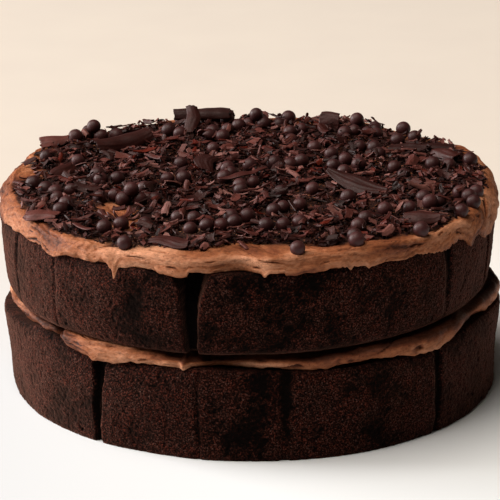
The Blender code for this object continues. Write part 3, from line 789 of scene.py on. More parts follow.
def slab_faces(steps, sides):
    """Quads of a slab of two sheets of (steps + 1) by (sides + 1) points, joined round the edge."""
    top = np.arange((steps + 1) * (sides + 1)).reshape(steps + 1, sides + 1)
    under = top + top.size
    a, b, c, d = top[:-1, :-1], top[1:, :-1], top[1:, 1:], top[:-1, 1:]
    faces = [np.stack([a, b, c, d], 2).reshape(-1, 4)]
    faces.append(np.stack([d, c, b, a], 2).reshape(-1, 4) + top.size)
    for edge, lower in ((top[:, 0], under[:, 0]), (top[-1, :], under[-1, :])):
        faces.append(np.stack([lower[:-1], lower[1:], edge[1:], edge[:-1]], 1))
    for edge, lower in ((top[:, -1], under[:, -1]), (top[0, :], under[0, :])):
        faces.append(np.stack([edge[:-1], edge[1:], lower[1:], lower[:-1]], 1))
    return np.concatenate(faces)


def slab_grid(corners, steps, sides):
    """Shares along and across a slab, and the places that they give between its four corners."""
    along = np.linspace(0.0, 1.0, steps + 1)[:, None, None]
    across = np.linspace(0.0, 1.0, sides + 1)[None, :, None]
    places = mixed(mixed(corners[0], corners[1], along), mixed(corners[3], corners[2], along), across)
    return along[..., 0], across[..., 0], places


def strewn(name, pieces, faces, tones, material, smooth=True):
    """One mesh of many small pieces of chocolate, which all have the same faces, and each its own tone."""
    count = len(pieces[0])
    all_faces = np.concatenate([faces + number * count for number in range(len(pieces))]).tolist()
    points = leaned(np.concatenate(pieces))
    tone = np.repeat(tones, count)
    mesh_piece(name, points, all_faces, material, "dark_chocolate", ["frosting"], smooth=smooth, tone=tone)


# Sponge layers


def inset_at(layer, rise):
    """How far the layer's wall lies in at this rise over its bottom."""
    rises, insets = zip(*layer.profile)
    return np.interp(rise, rises, insets)


def wall_swell(angle, inset, height):
    """How far the wall swells out here, in broad uneven waves."""
    return WALL_SWELL * ripple(around(angle, SPONGE_RADIUS - inset, height), WALL_SWELL_LENGTH)


def groove_depths(layer, angles, rises, rng):
    """How deep the creases lie at each height and angle, along wavering lines with crumbling edges."""
    up = rises / rises[-1]
    depths = np.zeros((len(rises), len(angles)))
    ragged = sum(CREASE_RAGGEDNESS * grain_map(depths.shape, WALL_CELL, size, rng) for size in (1.5, 5.0))
    for crease in layer.creases:
        heights = np.linspace(0.0, rises[-1], WAVER_HEIGHTS)
        waver = np.interp(rises, heights, rng.uniform(-CREASE_WAVER, CREASE_WAVER, WAVER_HEIGHTS))
        offset = np.radians(turned(angles - crease.angle))[None, :] * SPONGE_RADIUS - waver[:, None]
        half_width = 0.5 * mixed(crease.bottom_width, crease.top_width, up)[:, None]
        half_width = half_width * (1.0 + CREASE_OPENING * crease.depth * up[:, None] ** 8)
        share = np.abs(offset) / half_width + ragged / max(1.0, crease.depth)
        depth = crease.depth * mixed(crease.foot_share, 1.0, up)[:, None]
        rim, floor_edge = 1.25, 0.25 + 0.06 * crease.depth
        depths = np.maximum(depths, depth * ramp(share, rim, floor_edge))
    return depths


def crumb_relief(shape, cell, rng):
    """The sponge's crumb: grains, many small pores and a few larger holes."""
    relief = sum(height * grain_map(shape, cell, size, rng) for height, size in CRUMB_GRAINS)
    for depth, size, start, most in CRUMB_PORES:
        relief -= depth * np.clip(grain_map(shape, cell, size, rng) - start, 0.0, most)
    return relief


def edge_rise(layer, angle):
    """How far the layer's top edge stands up at this angle, in straight stretches between even columns."""
    step = 360.0 / WALL_COLUMNS
    low = math.floor(angle / step) * step
    low_rise, high_rise = (bulge_at(end, layer.edge_rises) for end in (low, low + step))
    return mixed(low_rise, high_rise, (angle - low) / step)


def lower_top_at(x, y):
    """The height of the lower layer's top, which wavers near its edge."""
    place = Vector((x - LOWER_SHIFT, y))
    share = (place.length - LOWER_FLAT_RADIUS) / (LOWER_EDGE_RADIUS - LOWER_FLAT_RADIUS)
    angle = math.degrees(math.atan2(place.x, -place.y))
    return LOWER_TOP + max(0.0, min(1.0, share)) * edge_rise(LOWER_LAYER, angle)


def filled_in(coarse, known, places, period=None):
    """A map known at some places along its rows, filled in to these places."""
    return np.stack([np.interp(places, known, row, period=period) for row in coarse])


def enlarged_columns(coarse, step, columns):
    """A map worked out at every step-th column of a closed band, filled in to all of them."""
    count = coarse.shape[1]
    return filled_in(coarse, np.arange(count), np.arange(columns) / step, period=count)


def enlarged(coarse, step, rows, columns):
    """A map worked out at every step-th row and column of a closed band, filled in to all of them."""
    wide = enlarged_columns(coarse, step, columns)
    return filled_in(wide.T, np.arange(len(wide)), np.arange(rows) / step).T


def sponge_layer(layer, material):
    """The layer's wall in fine rings, between coarser ones across its bottom and its top."""
    rng = np.random.default_rng(layer.seed)
    angles = angles_round(SPONGE_RADIUS, WALL_CELL, 4)
    depth = layer.top - layer.bottom
    section = evenly(rounded(layer.profile), round(depth / WALL_CELL) + 4)
    rises, insets = section[:, :1], section[:, 1:]
    swell = np.array([
        [wall_swell(a, inset, layer.bottom + rise) for a in angles[::4]] for rise, inset in section[::4]
    ])
    swell = enlarged(swell, 4, len(section), len(angles))
    relief = crumb_relief(swell.shape, WALL_CELL, rng)
    grooves = groove_depths(layer, angles, rises[:, 0], rng)
    flare = bulges_at(angles, layer.flares) * (rises / depth) ** FLARE_CURVE
    radius = SPONGE_RADIUS - insets + swell + flare + relief - grooves
    edge = np.array([edge_rise(layer, a) for a in angles]) * (rises / depth) ** EDGE_CURVE
    wall = ring_points(angles, radius, layer.bottom + rises + edge) + (layer.shift, 0.0, 0.0)
    rim = wall[-1][::4]
    under, over = (
        [rim * (share, share, 0.0) + (layer.shift * (1.0 - share), 0.0, height) for share in CAP_RINGS]
        for height in (layer.bottom, layer.top)
    )
    rings = [*reversed(under), *wall, *over]
    points = leaned(np.concatenate(rings), layer.lean)
    # Painted shade: the tone is lower in the crumb's hollows and in the creases, and the sponge's colour
    # darkens with it
    shades = np.clip(0.5 + (relief - 0.3 * grooves) / 0.6, 0.0, 1.0)
    tone = point_values(len(points), len(under) * len(rim), shades, 0.0)
    mesh_piece(f"{layer.node}_crumb", points, ring_skin(rings), material, "sponge", [layer.node], relief=tone)


# Buttercream


def swept(values, shift):
    """The map with each of its points moved up by so many rows, so that its streaks bend."""
    rows = np.arange(len(values))[:, None] + shift
    low = np.floor(rows).astype(int)
    part = rows - low
    columns = np.arange(values.shape[1])[None, :]
    return mixed(values[low % len(values), columns], values[(low + 1) % len(values), columns], part)


def cream_relief(shape, cell, rng):
    """The cream's relief in millimetres, in marks that run round the cake, and its tone from 0 to 1, with
    painted light and shade.
    """

    def even(size, along=1.0):
        return grain_map(shape, cell, size, rng, along)

    def bent(size, along):
        return swept(even(size, along), sweep)

    sweep = SMEAR_SWEEP / cell * even(13.0, 1.3)
    marks = bent(0.8, 10.0)
    marked = ramp(even(14.0, 2.0), -0.6, 1.2)
    ridges = bent(2.2, 5.0)
    folds = np.minimum(np.abs(bent(5.0, 2.4)), 1.3)
    folded = ramp(even(16.0, 1.6), -0.8, 0.8)
    creases = np.exp(-((folds / FOLD_CREASE_WIDTH) ** 2)) * folded
    smears = bent(6.0, 3.5)
    ledges = sum(ramp(smears, edge - SMEAR_EDGE_WIDTH, edge + SMEAR_EDGE_WIDTH) for edge in SMEAR_EDGES)
    shade_under_ledges = sum(np.exp(-(((smears - edge + 0.05) / 0.05) ** 2)) for edge in SMEAR_EDGES)
    lumps = even(9.0, 1.8)
    grains = even(1.0)
    tears = np.clip(bent(1.1, 6.0) - 1.5, 0.0, 0.8)
    patches = bent(7.0, 2.5)
    # Each part, how many millimetres it stands out and how much paler it is: raised marks, ridges, grains and
    # ledges paler as painted light, creases, tears and the foot of each ledge darker as painted shade, and
    # the patches the cream's own paler stretches
    parts = (
        (marks * marked, 0.07, 0.05), (ridges, 0.08, 0.04), (lumps, 0.20, 0.0), (grains, 0.03, 0.04),
        (ledges, 0.30, 0.05), (folds * mixed(0.3, 1.0, folded), 0.34, 0.0), (creases, -0.22, -0.28),
        (tears, -1.2, -0.9), (patches, 0.0, 0.15), (shade_under_ledges, 0.0, -0.16),
    )
    relief = sum(height * part for part, height, _ in parts) - 0.5
    tone = 0.43 + sum(paler * part for part, _, paler in parts)
    return relief, np.clip(tone, 0.0, 1.0)


def pushed_out(radius, height, relief):
    """The rings' points pushed along the section's own normal by the relief."""
    slope_r, slope_z = np.gradient(radius, axis=0), np.gradient(height, axis=0)
    length = np.hypot(slope_r, slope_z) + 1e-9
    return radius + relief * slope_z / length, height - relief * slope_r / length


def filling_height(angles, radius, shares, slump, wander):
    """The height of each point of the filling's edge, lower where it slumps under the upper layer."""
    flat = ring_points(angles, radius, 0.0).reshape(-1, 3)
    under = np.array([lower_top_at(x, y) + EDGE_CLEARANCE for x, y, _ in flat]).reshape(radius.shape)
    over = FILLING_TOP + LEAN * flat[:, 0].reshape(radius.shape)
    levels = shares * (1.0 - slump * (1.0 - ramp(shares, SLUMP_FROM, 1.0))) + 0.1 * wander * (1.0 - shares)
    return mixed(under, over, np.clip(levels, 0.0, 1.0))


def filling_shades(angles, shares, shades):
    """The cream's shades with the filling's own tones and painted light and shade by angle, and painted shade
    in the gap under the upper layer's right side.
    """
    in_shade = ramp(turned(angles), *SHADE_STARTS) * ramp(turned(angles), *SHADE_ENDS)
    gap = in_shade * ramp(shares, 0.50, 0.85)
    return ((shades + bulges_at(angles, FILLING_TONES_LIGHT_AND_SHADE)) * (1.0 - GAP_SHADE * gap)).clip(0.0, 1.0)


def filling(material):
    """The buttercream between the layers: its edge in fine rings from the underside round to the top."""
    rng = np.random.default_rng(21)
    angles = angles_round(FILLING_RADIUS, CREAM_CELL, 8)
    depth = FILLING_TOP - LOWER_TOP - CLEARANCE
    # Each row is how far out of the edge's radius, in millimetres, and at which share of the height
    profile = ((-7.0, 0.0), (-2.2, 0.0), (-0.5, 0.14), (0.4, 0.5), (-0.2, 0.84), (-2.0, 1.0), (-7.0, 1.0))
    section = evenly(rounded(profile, 2) * (1.0, depth), FILLING_RINGS) / (1.0, depth)
    outs, shares = section[:, :1], section[:, 1:]
    reach = np.array([FILLING_RADIUS + bulge_at(a, FILLING_BULGES) for a in angles])
    ragged = np.array([
        [ripple(around(a, r, 3.0 * share * depth), 8.0, seed=3.0) for a, r in zip(angles[::3], reach[::3])]
        for share in shares[::3, 0]
    ])
    ragged = enlarged(ragged, 3, len(section), len(angles))
    slump = bulges_at(angles, FILLING_SLUMPS)
    fade = ramp(outs, -6.5, -2.0)
    radius = reach + outs + FILLING_RAGGEDNESS * ragged + bulges_at(angles, FILLING_TEARS) * fade
    radius -= SLUMP_REACH * slump * ramp(shares, SLUMP_FROM, 1.0)
    relief, shades = cream_relief(radius.shape, CREAM_CELL, rng)
    wander = 0.5 * grain_map((2, len(angles)), CREAM_CELL, 3.0, rng)[0] * fade
    height = filling_height(angles, radius, shares, slump, wander)
    edge = ring_points(angles, *pushed_out(radius, height, relief * fade))
    under, over = (
        leaned(ring_points(angles[::8], FILLING_INNER_RADIUS, level), lean)
        for level, lean in ((LOWER_TOP + CLEARANCE, 0.0), (FILLING_TOP, LEAN))
    )
    rings = [under, *edge, over]
    points = np.concatenate(rings)
    # The tone, with its painted light and shade, goes to the mesh as its relief attribute
    tone = point_values(len(points), len(under), filling_shades(angles, shares, shades), 0.5)
    mesh_piece("filling_cream", points, ring_skin(rings), material, "buttercream", ["filling"], relief=tone)


def frosting_height(x, y):
    """The height of the spread frosting, away from its edge."""
    share = min(1.0, math.hypot(x, y) / FROSTING_RADIUS)
    rise = bulge_at(math.degrees(math.atan2(x, -y)), TOP_RISES) * share**8
    place = Vector((x, y, 0.0))
    swell = TOP_SWELL * ripple(place, TOP_SWELL_LENGTH, seed=5.0)
    marks = SPREAD_MARKS * ripple(place, SPREAD_MARK_LENGTH, seed=6.0)
    return FROSTING_TOP + CROWN * (1.0 - share**4) + rise + swell + marks


def frosting_heights(angles, radius):
    """A map of the spread frosting's height, from a map of distances from the axis at these angles."""
    return np.array([[frosting_height(*around(a, r, 0.0).xy) for a, r in zip(angles, row)] for row in radius])


def wall_reach(layer, angle, height):
    """How far from the axis the layer's wall lies at this angle and height, where it has no crease."""
    rise = height - layer.bottom
    inset = inset_at(layer, rise)
    flare = bulge_at(angle, layer.flares) * (rise / (layer.top - layer.bottom)) ** FLARE_CURVE
    swell = wall_swell(angle, inset, height)
    return SPONGE_RADIUS - inset + swell + flare + layer.shift * math.sin(math.radians(angle))


def lip_at(angle):
    """The frosting's edge at this angle: its foot's, inner and outer radii and the height of its underside.

    It laps over the upper layer's wall, or lies back on that layer's top.
    """
    wave = ripple(around(angle, FROSTING_RADIUS, 0.0), 7.0, seed=9.0)
    ruffle = ripple(around(angle, FROSTING_RADIUS, 0.0), 7.0, seed=11.0)
    height = UPPER_TOP - max(LEAST_LAP, bulge_at(angle, LIP_LAPS) + FROSTING_RAGGEDNESS * wave)
    inner = max(wall_reach(UPPER_LAYER, angle, h) for h in (height, UPPER_TOP)) + LIP_CLEARANCE
    foot = inner
    retreat = bulge_at(angle, LIP_RETREATS)
    if retreat > LEAST_RETREAT:
        height = UPPER_TOP + CLEARANCE
        inner -= retreat
        foot = inner - LIP_FOOT
    return foot, inner, inner + LIP_THICKNESS + FROSTING_RAGGEDNESS * ruffle, height


def shoulder_at(angle, outer):
    """How far out the frosting's top reaches at this angle, where its edge reaches as far as outer."""
    waver = SHOULDER_WAVER * ripple(around(angle, FROSTING_RADIUS, 0.0), SHOULDER_WAVER_LENGTH, seed=13.0)
    return min(outer, SHOULDER_RADIUS + waver + bulge_at(angle, SHOULDER_BULGES))


def torn_edge(columns, rng):
    """How much higher than its even form the lip's edge hangs at each column, in tears and broad waves."""
    fine, middling, broad, where = (
        grain_map((2, columns), CREAM_CELL, size, rng)[0] for size in (1.1, 2.8, 8.0, 20.0)
    )
    return 0.45 * fine * ramp(where, -0.2, 1.6) + 0.12 * middling + 0.45 * broad


def frosting_rim(angles, rng):
    """The hidden rings under the frosting's lip, and the radii and heights of its rim over them."""
    foot, inner, outer, height = np.array([lip_at(a) for a in angles]).T
    shoulder = np.array([shoulder_at(a, out) for a, out in zip(angles, outer)])
    tags = bulges_at(angles, LIP_TAGS)
    torn = torn_edge(len(angles), rng)
    lies_back = height > UPPER_TOP
    height = np.where(lies_back, np.maximum(height + 0.5 * torn, height), height + torn) - tags
    hidden = [ring_points(angles, foot, UPPER_TOP + CLEARANCE), ring_points(angles, inner, height + 0.2)]
    # Each row: the share of the way in to the shoulder, millimetres further out, and the share of the height
    profile = ((0.0, -0.25, 0.0), (0.0, 0.0, 0.3), (0.35, 0.0, 0.62), (1.0, -0.2, 0.9), (1.0, -2.8, 1.0))
    # About how many millimetres one of each is, so that the rings come out evenly spaced
    sizes = (2.5, 1.0, 6.5)
    section = evenly(rounded(profile, 2) * sizes, RIM_RINGS) / sizes
    inward, out, share = section[:, :1], section[:, 1:2], section[:, 2:]
    radius = mixed(outer + TAG_REACH * tags, shoulder, inward) + out
    crest = frosting_heights(angles[::4], radius[::4, ::4])
    return hidden, radius, mixed(height, enlarged(crest, 4, len(section), len(angles)), share)


def dust_and_shade_shares(angles, radii):
    """How thickly chocolate dust, which is also painted shade among the toppings, lies on the cream at these
    angles and distances from the axis.
    """
    return np.array([
        [topping_share(r * math.sin(turn), -r * math.cos(turn)) for turn in np.radians(angles)] for r in radii
    ])


def frosting(material):
    """The frosting: its lip and rim in fine rings, then its top in wider ones that have fewer points."""
    rng = np.random.default_rng(31)
    angles = angles_round(FROSTING_RADIUS, CREAM_CELL, 16)
    hidden, rim_radius, rim_height = frosting_rim(angles, rng)
    inward = np.arange(1, TOP_RINGS + 1)[:, None] / TOP_RINGS
    top_radius = mixed(rim_radius[-1], TOP_INNER_RADIUS, inward)
    top_height = enlarged_columns(frosting_heights(angles[::2], top_radius[:, ::2]), 2, len(angles))
    radius = np.concatenate([rim_radius, top_radius])
    relief, shades = cream_relief(radius.shape, CREAM_CELL, rng)
    spread = ring_points(angles, *pushed_out(radius, np.concatenate([rim_height, top_height]), relief))
    inside = []
    for step, reach in TOP_INNER_RINGS:
        ring = [around(a, reach, 0.0) for a in angles[::step]]
        inside.append(np.array([(p.x, p.y, frosting_height(p.x, p.y)) for p in ring]))
    below = [hidden[0][::8] * (0.5, 0.5, 1.0), *hidden]
    rings = [*below, *spread, *inside]
    points = leaned(np.concatenate(rings))
    first = sum(len(ring) for ring in below)
    # Painted light and shade by angle on the rim; the tone goes to the mesh as its relief attribute
    shades = (shades + bulges_at(angles, RIM_TONES_LIGHT_AND_SHADE)).clip(0.0, 1.0)
    tone = point_values(len(points), first, shades, 0.5)
    first += rim_radius.size
    # Dust on the top only, partly painted shade among the toppings
    shares = enlarged_columns(dust_and_shade_shares(angles[::8], top_radius.mean(1)), 8, len(angles))
    dust = point_values(len(points), first, shares, 1.0)
    dust[:first] = 0.0
    mesh_piece("frosting_cream", points, ring_skin(rings), material, "buttercream", ["frosting"],
               relief=tone, dust=dust)


# Toppings


class Bed:
    """A height map of everything on the cake's top, on which toppings come to rest."""

    def __init__(self):
        side = round(2 * BED_REACH / BED_CELL)
        centres = (np.arange(side) + 0.5) * BED_CELL - BED_REACH
        coarse = centres[::6]
        low = np.array([[frosting_height(x, y) for x in coarse] for y in coarse])
        self.cream = filled_in(filled_in(low, coarse, centres).T, coarse, centres).T
        self.x, self.y = np.meshgrid(centres, centres)
        self.cream[np.hypot(self.x, self.y) > SHOULDER_RADIUS - 1.0] = NO_CREAM
        self.height = self.cream.copy()
        self.pearls = np.zeros_like(self.cream)
        self.limit = np.full_like(self.cream, PILE_HEIGHT)
        self.ceiling = np.full_like(self.cream, np.inf)

    def cells(self, points):
        """The rows and columns of the cells under the points."""
        places = ((points[:, :2] + BED_REACH) / BED_CELL).astype(int).clip(0, len(self.height) - 1)
        return places[:, 1], places[:, 0]

    def raise_to(self, points):
        np.maximum.at(self.height, self.cells(points), points[:, 2])

    def add_pearl(self, points):
        """A pearl lies here, and small toppings pile up less beside it."""
        cells = self.cells(points)
        self.raise_to(points)
        np.maximum.at(self.pearls, cells, points[:, 2] - self.cream[cells])
        x, y, _ = points.mean(0)
        self.limit[np.hypot(self.x - x, self.y - y) < 1.7 * PEARL_RADIUS] = PILE_BY_PEARLS

    def cover(self, points):
        """Nothing may lie higher than these points, because a long shaving lies there."""
        np.minimum.at(self.ceiling, self.cells(points), points[:, 2])


def gap_to_shavings(x, y):
    """How far the point is from the nearest long shaving's outline, seen from above."""
    gaps = []
    for s in SHAVINGS:
        along = Vector((math.cos(math.radians(s.heading)), math.sin(math.radians(s.heading))))
        offset = Vector((x - s.x, y - s.y))
        run = max(-0.5 * s.length, min(0.5 * s.length, offset.dot(along)))
        gaps.append((offset - along * run).length - 0.5 * s.width)
    return min(gaps)


def pearl_places(rng):
    """The pearls' places as (x, y, rise): the groups first, then single ones between them."""
    places = []
    touching = 2.0 * PEARL_RADIUS
    for group_x, group_y, count in PEARL_GROUPS:
        group = [(group_x, group_y)]
        while len(group) < count:
            base_x, base_y = rng.choice(group)
            heading = rng.uniform(0.0, math.tau)
            reach = touching * rng.uniform(1.02, 1.12)
            x, y = base_x + reach * math.cos(heading), base_y + reach * math.sin(heading)
            clear = all(math.dist((x, y), other) >= touching for other in group)
            if clear and gap_to_shavings(x, y) > 0.5 * PEARL_RADIUS:
                group.append((x, y))
        places += [(x, y, 0.0) for x, y in group]
        if count >= HEAPED_FROM:
            (first_x, first_y), (next_x, next_y) = group[:2]
            places.append((0.5 * (first_x + next_x), 0.5 * (first_y + next_y), PEARL_HEAP_RISE))
    singles = 0
    while singles < SINGLE_PEARLS:
        x, y = place_in_disc(TOPPED_RADIUS, rng)
        free = all(math.dist((x, y), other[:2]) >= SINGLE_SPACING for other in places)
        if free and gap_to_shavings(x, y) > PEARL_RADIUS:
            places.append((x, y, 0.0))
            singles += 1
    return places


def ball():
    """The points and triangles of a ball of radius 1."""
    mesh = bpy.data.meshes.new("ball")
    bm = bmesh.new()
    bmesh.ops.create_icosphere(bm, subdivisions=BALL_DETAIL, radius=1.0)
    bm.to_mesh(mesh)
    bm.free()
    points = np.array([v.co for v in mesh.vertices])
    faces = np.array([list(p.vertices) for p in mesh.polygons])
    bpy.data.meshes.remove(mesh)
    return points, faces


def chip():
    """The points and triangles of a piece with six corners."""
    points = np.array([(1, 0, 0), (0, 1, 0), (-1, 0, 0), (0, -1, 0), (0.2, 0.1, 1), (-0.1, 0, -1)], float)
    faces = [(k, (k + 1) % 4, 4) for k in range(4)] + [((k + 1) % 4, k, 5) for k in range(4)]
    return points, np.array(faces)


def pearls(material, bed, rng):
    """The solid's pearls as round balls. Returns all their places, because the flakes keep clear of them."""
    places = pearl_places(rng)
    points, faces = ball()
    balls, tones = [], []
    for number, (x, y, rise) in enumerate(places):
        radius = PEARL_RADIUS * rng.uniform(*PEARL_SIZES)
        # The turn of the solid's pearl, which a ball doesn't show
        rng.uniform(0.0, math.pi)
        if math.hypot(x, y) > FURTHEST_PEARL:
            continue
        centre = np.array([x, y, frosting_height(x, y) + radius - PEARL_SUNK + rise])
        lumps = np.array([ripple(Vector(p), 0.9, seed=number) for p in points])
        balls.append(centre + points * (radius * (1.0 + PEARL_UNEVENNESS * lumps))[:, None])
        tones.append((number * GOLDEN_SHARE) % 1.0)
        bed.add_pearl(balls[-1])
    strewn("pearls", balls, faces, tones, material)
    return places


def flake_places(rng, pearls):
    """Places for the solid's flakes, spread evenly over the top between the pearls and the long shavings."""
    places = []
    while len(places) < FLAKES:
        x, y = place_in_disc(TOPPED_RADIUS, rng)
        far_from_flakes = all(math.hypot(x - fx, y - fy) > FLAKE_SPACING for fx, fy in places)
        far_from_pearls = all(math.hypot(x - px, y - py) > 1.1 * PEARL_RADIUS for px, py, _ in pearls)
        if far_from_flakes and far_from_pearls and gap_to_shavings(x, y) > 0.5 * FLAKE_LENGTH[1]:
            places.append((x, y))
    return places


def flake(x, y, rng, chips):
    """A flat splinter with four uneven corners and broken edges, one end of it under the frosting."""
    length = rng.uniform(*FLAKE_LENGTH)
    width = length * rng.uniform(0.35, 0.65)
    corners = np.array([
        (-0.5 * length, -0.5 * width * rng.uniform(0.2, 1.0)),
        (0.5 * length, -0.5 * width * rng.uniform(0.4, 1.0)),
        (0.5 * length * rng.uniform(0.6, 1.0), 0.5 * width),
        (-0.5 * length * rng.uniform(0.6, 1.0), 0.5 * width * rng.uniform(0.5, 1.0)),
    ])
    pitch = math.radians(rng.uniform(*FLAKE_TILT))
    roll = math.radians(rng.uniform(-FLAKE_ROLL, FLAKE_ROLL))
    turn = turn_matrix(rng.uniform(0.0, math.tau), pitch, roll)
    _, across, places = slab_grid(corners, FLAKE_STEPS, FLAKE_SIDES)
    places = places + FLAKE_BREAKS * chips.uniform(-1.0, 1.0, places.shape)
    curl = FLAKE_CURL * np.sin(math.pi * across) * chips.uniform(-1.0, 1.0)
    points = slab_points(*np.moveaxis(places, 2, 0), curl, FLAKE_THICKNESS * chips.uniform(0.5, 0.9))
    return points @ turn.T + (x, y, frosting_height(x, y) + 0.5)


def bedded_flakes(material, bed, rng, pearls):
    """The solid's flakes, which stand in the frosting between the pearls."""
    chips = np.random.default_rng(51)
    pieces = [flake(x, y, rng, chips) for x, y in flake_places(rng, pearls)]
    for points in pieces:
        bed.raise_to(points)
    faces = slab_faces(FLAKE_STEPS, FLAKE_SIDES)
    strewn("bedded_flakes", pieces, faces, chips.uniform(0.2, 0.97, len(pieces)), material)


def shaving_points(shaving, steps, sides, rng):
    """The shaving's points, upper sheet first: ridged along it, with chipped ends and a wavering bend."""
    shape = (steps + 1, sides + 1)
    bend = math.radians(shaving.bend)
    radius = shaving.width / bend
    run = np.linspace(-1.0, 1.0, steps + 1)[:, None]
    spread = 1.0 - shaving.taper * np.abs(run) ** SHAVING_TAPER_CURVE
    across = np.linspace(-0.5, 0.5, sides + 1)[None, :]
    sway = SHAVING_SWAY * np.sin(2.6 * run + rng.uniform(0, 6))
    turn = bend * spread * across + sway
    chips = SHAVING_CHIPS * np.abs(grain_map(shape, SHAVING_CELL, 2.0, rng))
    ridges = SHAVING_RIDGES * grain_map(shape[::-1], SHAVING_CELL, 0.8, rng, along=14.0).T
    wave = SHAVING_WAVES * grain_map(shape, SHAVING_CELL, 6.0, rng)
    at_end, at_edge = np.abs(run) > 0.99, np.abs(across) > 0.49
    end = 0.5 * run * shaving.length - np.sign(run) * chips * at_end
    turn = turn * (1.0 - 0.05 * chips * at_edge)
    thickness = SHAVING_THICKNESS * (0.85 - 0.5 * (2 * np.abs(across)) ** 3)
    sheets = []
    for side in (1.0, -1.0):
        reach = radius + 0.5 * side * thickness + ridges * (side > 0) + wave
        sheets.append(points_at(end, reach * np.sin(turn), reach * np.cos(turn) - radius))
    return np.concatenate(sheets).reshape(-1, 3)


def long_shaving(shaving, material, bed, rng):
    """The shaving's solid in finer form, turned as the solid is and put in the middle of the solid's box."""
    steps = round(shaving.length / SHAVING_CELL)
    sides = max(8, round(shaving.width / SHAVING_CELL))
    angles = (math.radians(angle) for angle in (shaving.heading, shaving.pitch, shaving.roll))
    points = shaving_points(shaving, steps, sides, rng) @ turn_matrix(*angles).T
    low, high = (np.array(corner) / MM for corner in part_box(shaving.node))
    points += 0.5 * (low + high) - 0.5 * (points.min(0) + points.max(0))
    points[:, 2] += max(0.0, low[2] - points[:, 2].min())
    bed.cover(leaned(points, -LEAN))
    tone = np.full(len(points), rng.uniform(0.1, 0.7))
    faces = slab_faces(steps, sides).tolist()
    mesh_piece(f"{shaving.node}_ridged", points, faces, material, "dark_chocolate", [shaving.node], tone=tone)


def topping_share(x, y):
    """How thickly small toppings lie here, from 0 to 1."""
    angle = math.degrees(math.atan2(x, -y))
    edge = TOPPING_EDGE + bulge_at(angle, TOPPING_RETREATS)
    edge += 2.5 * ripple(Vector((x, y, 0.0)), 14.0, seed=15.0)
    share = float(ramp(np.array(edge - math.hypot(x, y)), -2.5, 3.0))
    for patch_x, patch_y, radius in BARE_PATCHES:
        gap = math.hypot(x - patch_x, y - patch_y) - 0.75 * radius
        share *= mixed(BARE_SHARE, 1.0, float(ramp(np.array(gap), -1.0, 0.5 * radius)))
    return share


def resting_lean(samples, under):
    """The pitch and roll at which a piece's ends and sides rest on what is under its samples."""
    length, width = np.ptp(samples[:, :2], axis=0) + 1e-6
    front, back = samples[:, 0] > 0.25 * length, samples[:, 0] < -0.25 * length
    left, right = samples[:, 1] > 0.2 * width, samples[:, 1] < -0.2 * width
    pitch = math.atan2(under[front].max() - under[back].max(), length)
    roll = math.atan2(under[left].max() - under[right].max(), width)
    return pitch, roll


def laid_down(shape, samples, bed, rng, sink):
    """A loose piece laid on the bed at random: its points at rest there, or None where it can't lie."""
    x, y = place_in_disc(SHOULDER_RADIUS, rng)
    if rng.random() > topping_share(x, y):
        return None
    heading = rng.uniform(0.0, math.tau)
    cells = bed.cells(samples @ turn_matrix(heading, 0.0, 0.0).T + (x, y, 0.0))
    under = bed.height[cells]
    on_pearl = (bed.pearls[cells] > PEARL_FROM).any()
    if under.min() < 0.0 or (on_pearl and rng.random() > PEARL_COVERED):
        return None
    pitch, roll = resting_lean(samples, under)
    tumble = rng.choice(TUMBLES, p=TUMBLE_SHARES)
    pitch = float(np.clip(pitch + rng.normal(0.0, tumble), -MOST_LEAN, MOST_LEAN))
    roll = float(np.clip(0.7 * roll + rng.normal(0.0, 1.2 * tumble), -MOST_LEAN, MOST_LEAN))
    turn = turn_matrix(heading, pitch, roll).T
    settled = samples @ turn + (x, y, 0.0)
    cells = bed.cells(settled)
    lift = (bed.height[cells] - settled[:, 2]).max() - sink
    top = settled[:, 2] + lift
    pile = top.mean() - bed.cream[cells].mean()
    highest = bed.limit[cells].min()
    if (top > bed.ceiling[cells]).any() or pile > highest + rng.exponential(0.4) + 3.0 * on_pearl:
        return None
    np.maximum.at(bed.height, cells, top + PIECE_ROOM)
    return shape @ turn + (x, y, lift)


def loose_pieces(name, count, make, faces, material, bed, rng, sink):
    """Pieces of one kind, laid down one after the other. make gives a piece's points and its samples."""
    pieces, tones, tries = [], [], 0
    while len(pieces) < count and tries < TRIES * count:
        tries += 1
        placed = laid_down(*make(rng), bed, rng, sink)
        if placed is not None:
            pieces.append(placed)
            tones.append(rng.random())
    print(name, len(pieces), "pieces in", tries, "tries")
    strewn(name, pieces, faces, tones, material, smooth=False)


def footprint(length, width):
    """Sample points under a piece of this size, with at least three along and three across it."""
    along = np.linspace(-0.5, 0.5, max(3, round(length / SAMPLE_GAP)))[None, :]
    across = np.linspace(-0.5, 0.5, max(3, round(width / SAMPLE_GAP)))[:, None]
    return points_at(along * length, across * width, 0.0).reshape(-1, 3)


def flat_piece(rng, length, width, thickness):
    """A thin flake or curl: an uneven shard with broken ends and ridges along it."""
    bend = rng.uniform(-0.2, 1.0) * width * 0.25
    corners = 0.5 * np.array([(-1, -1), (1, -1), (1, 1), (-1, 1)]) * (length, width)
    corners = corners * rng.uniform(0.35, 1.0, (4, 2))
    along, across, places = slab_grid(corners, PLATE_STEPS, PLATE_SIDES)
    from_middle, from_spine = (2 * along - 1) ** 2, (2 * across - 1) ** 2
    x, y = np.moveaxis(places + (0.07 * length, 0.07 * width) * rng.uniform(-1, 1, places.shape), 2, 0)
    y = y + rng.uniform(-0.2, 0.2) * width * from_middle
    ridges = 0.10 * rng.uniform(-1, 1, (1, PLATE_SIDES + 1))
    z = ridges - bend * from_spine + rng.uniform(-0.05, 0.09) * length * from_middle
    return slab_points(x, y, z, thickness), footprint(length, width * 0.8)


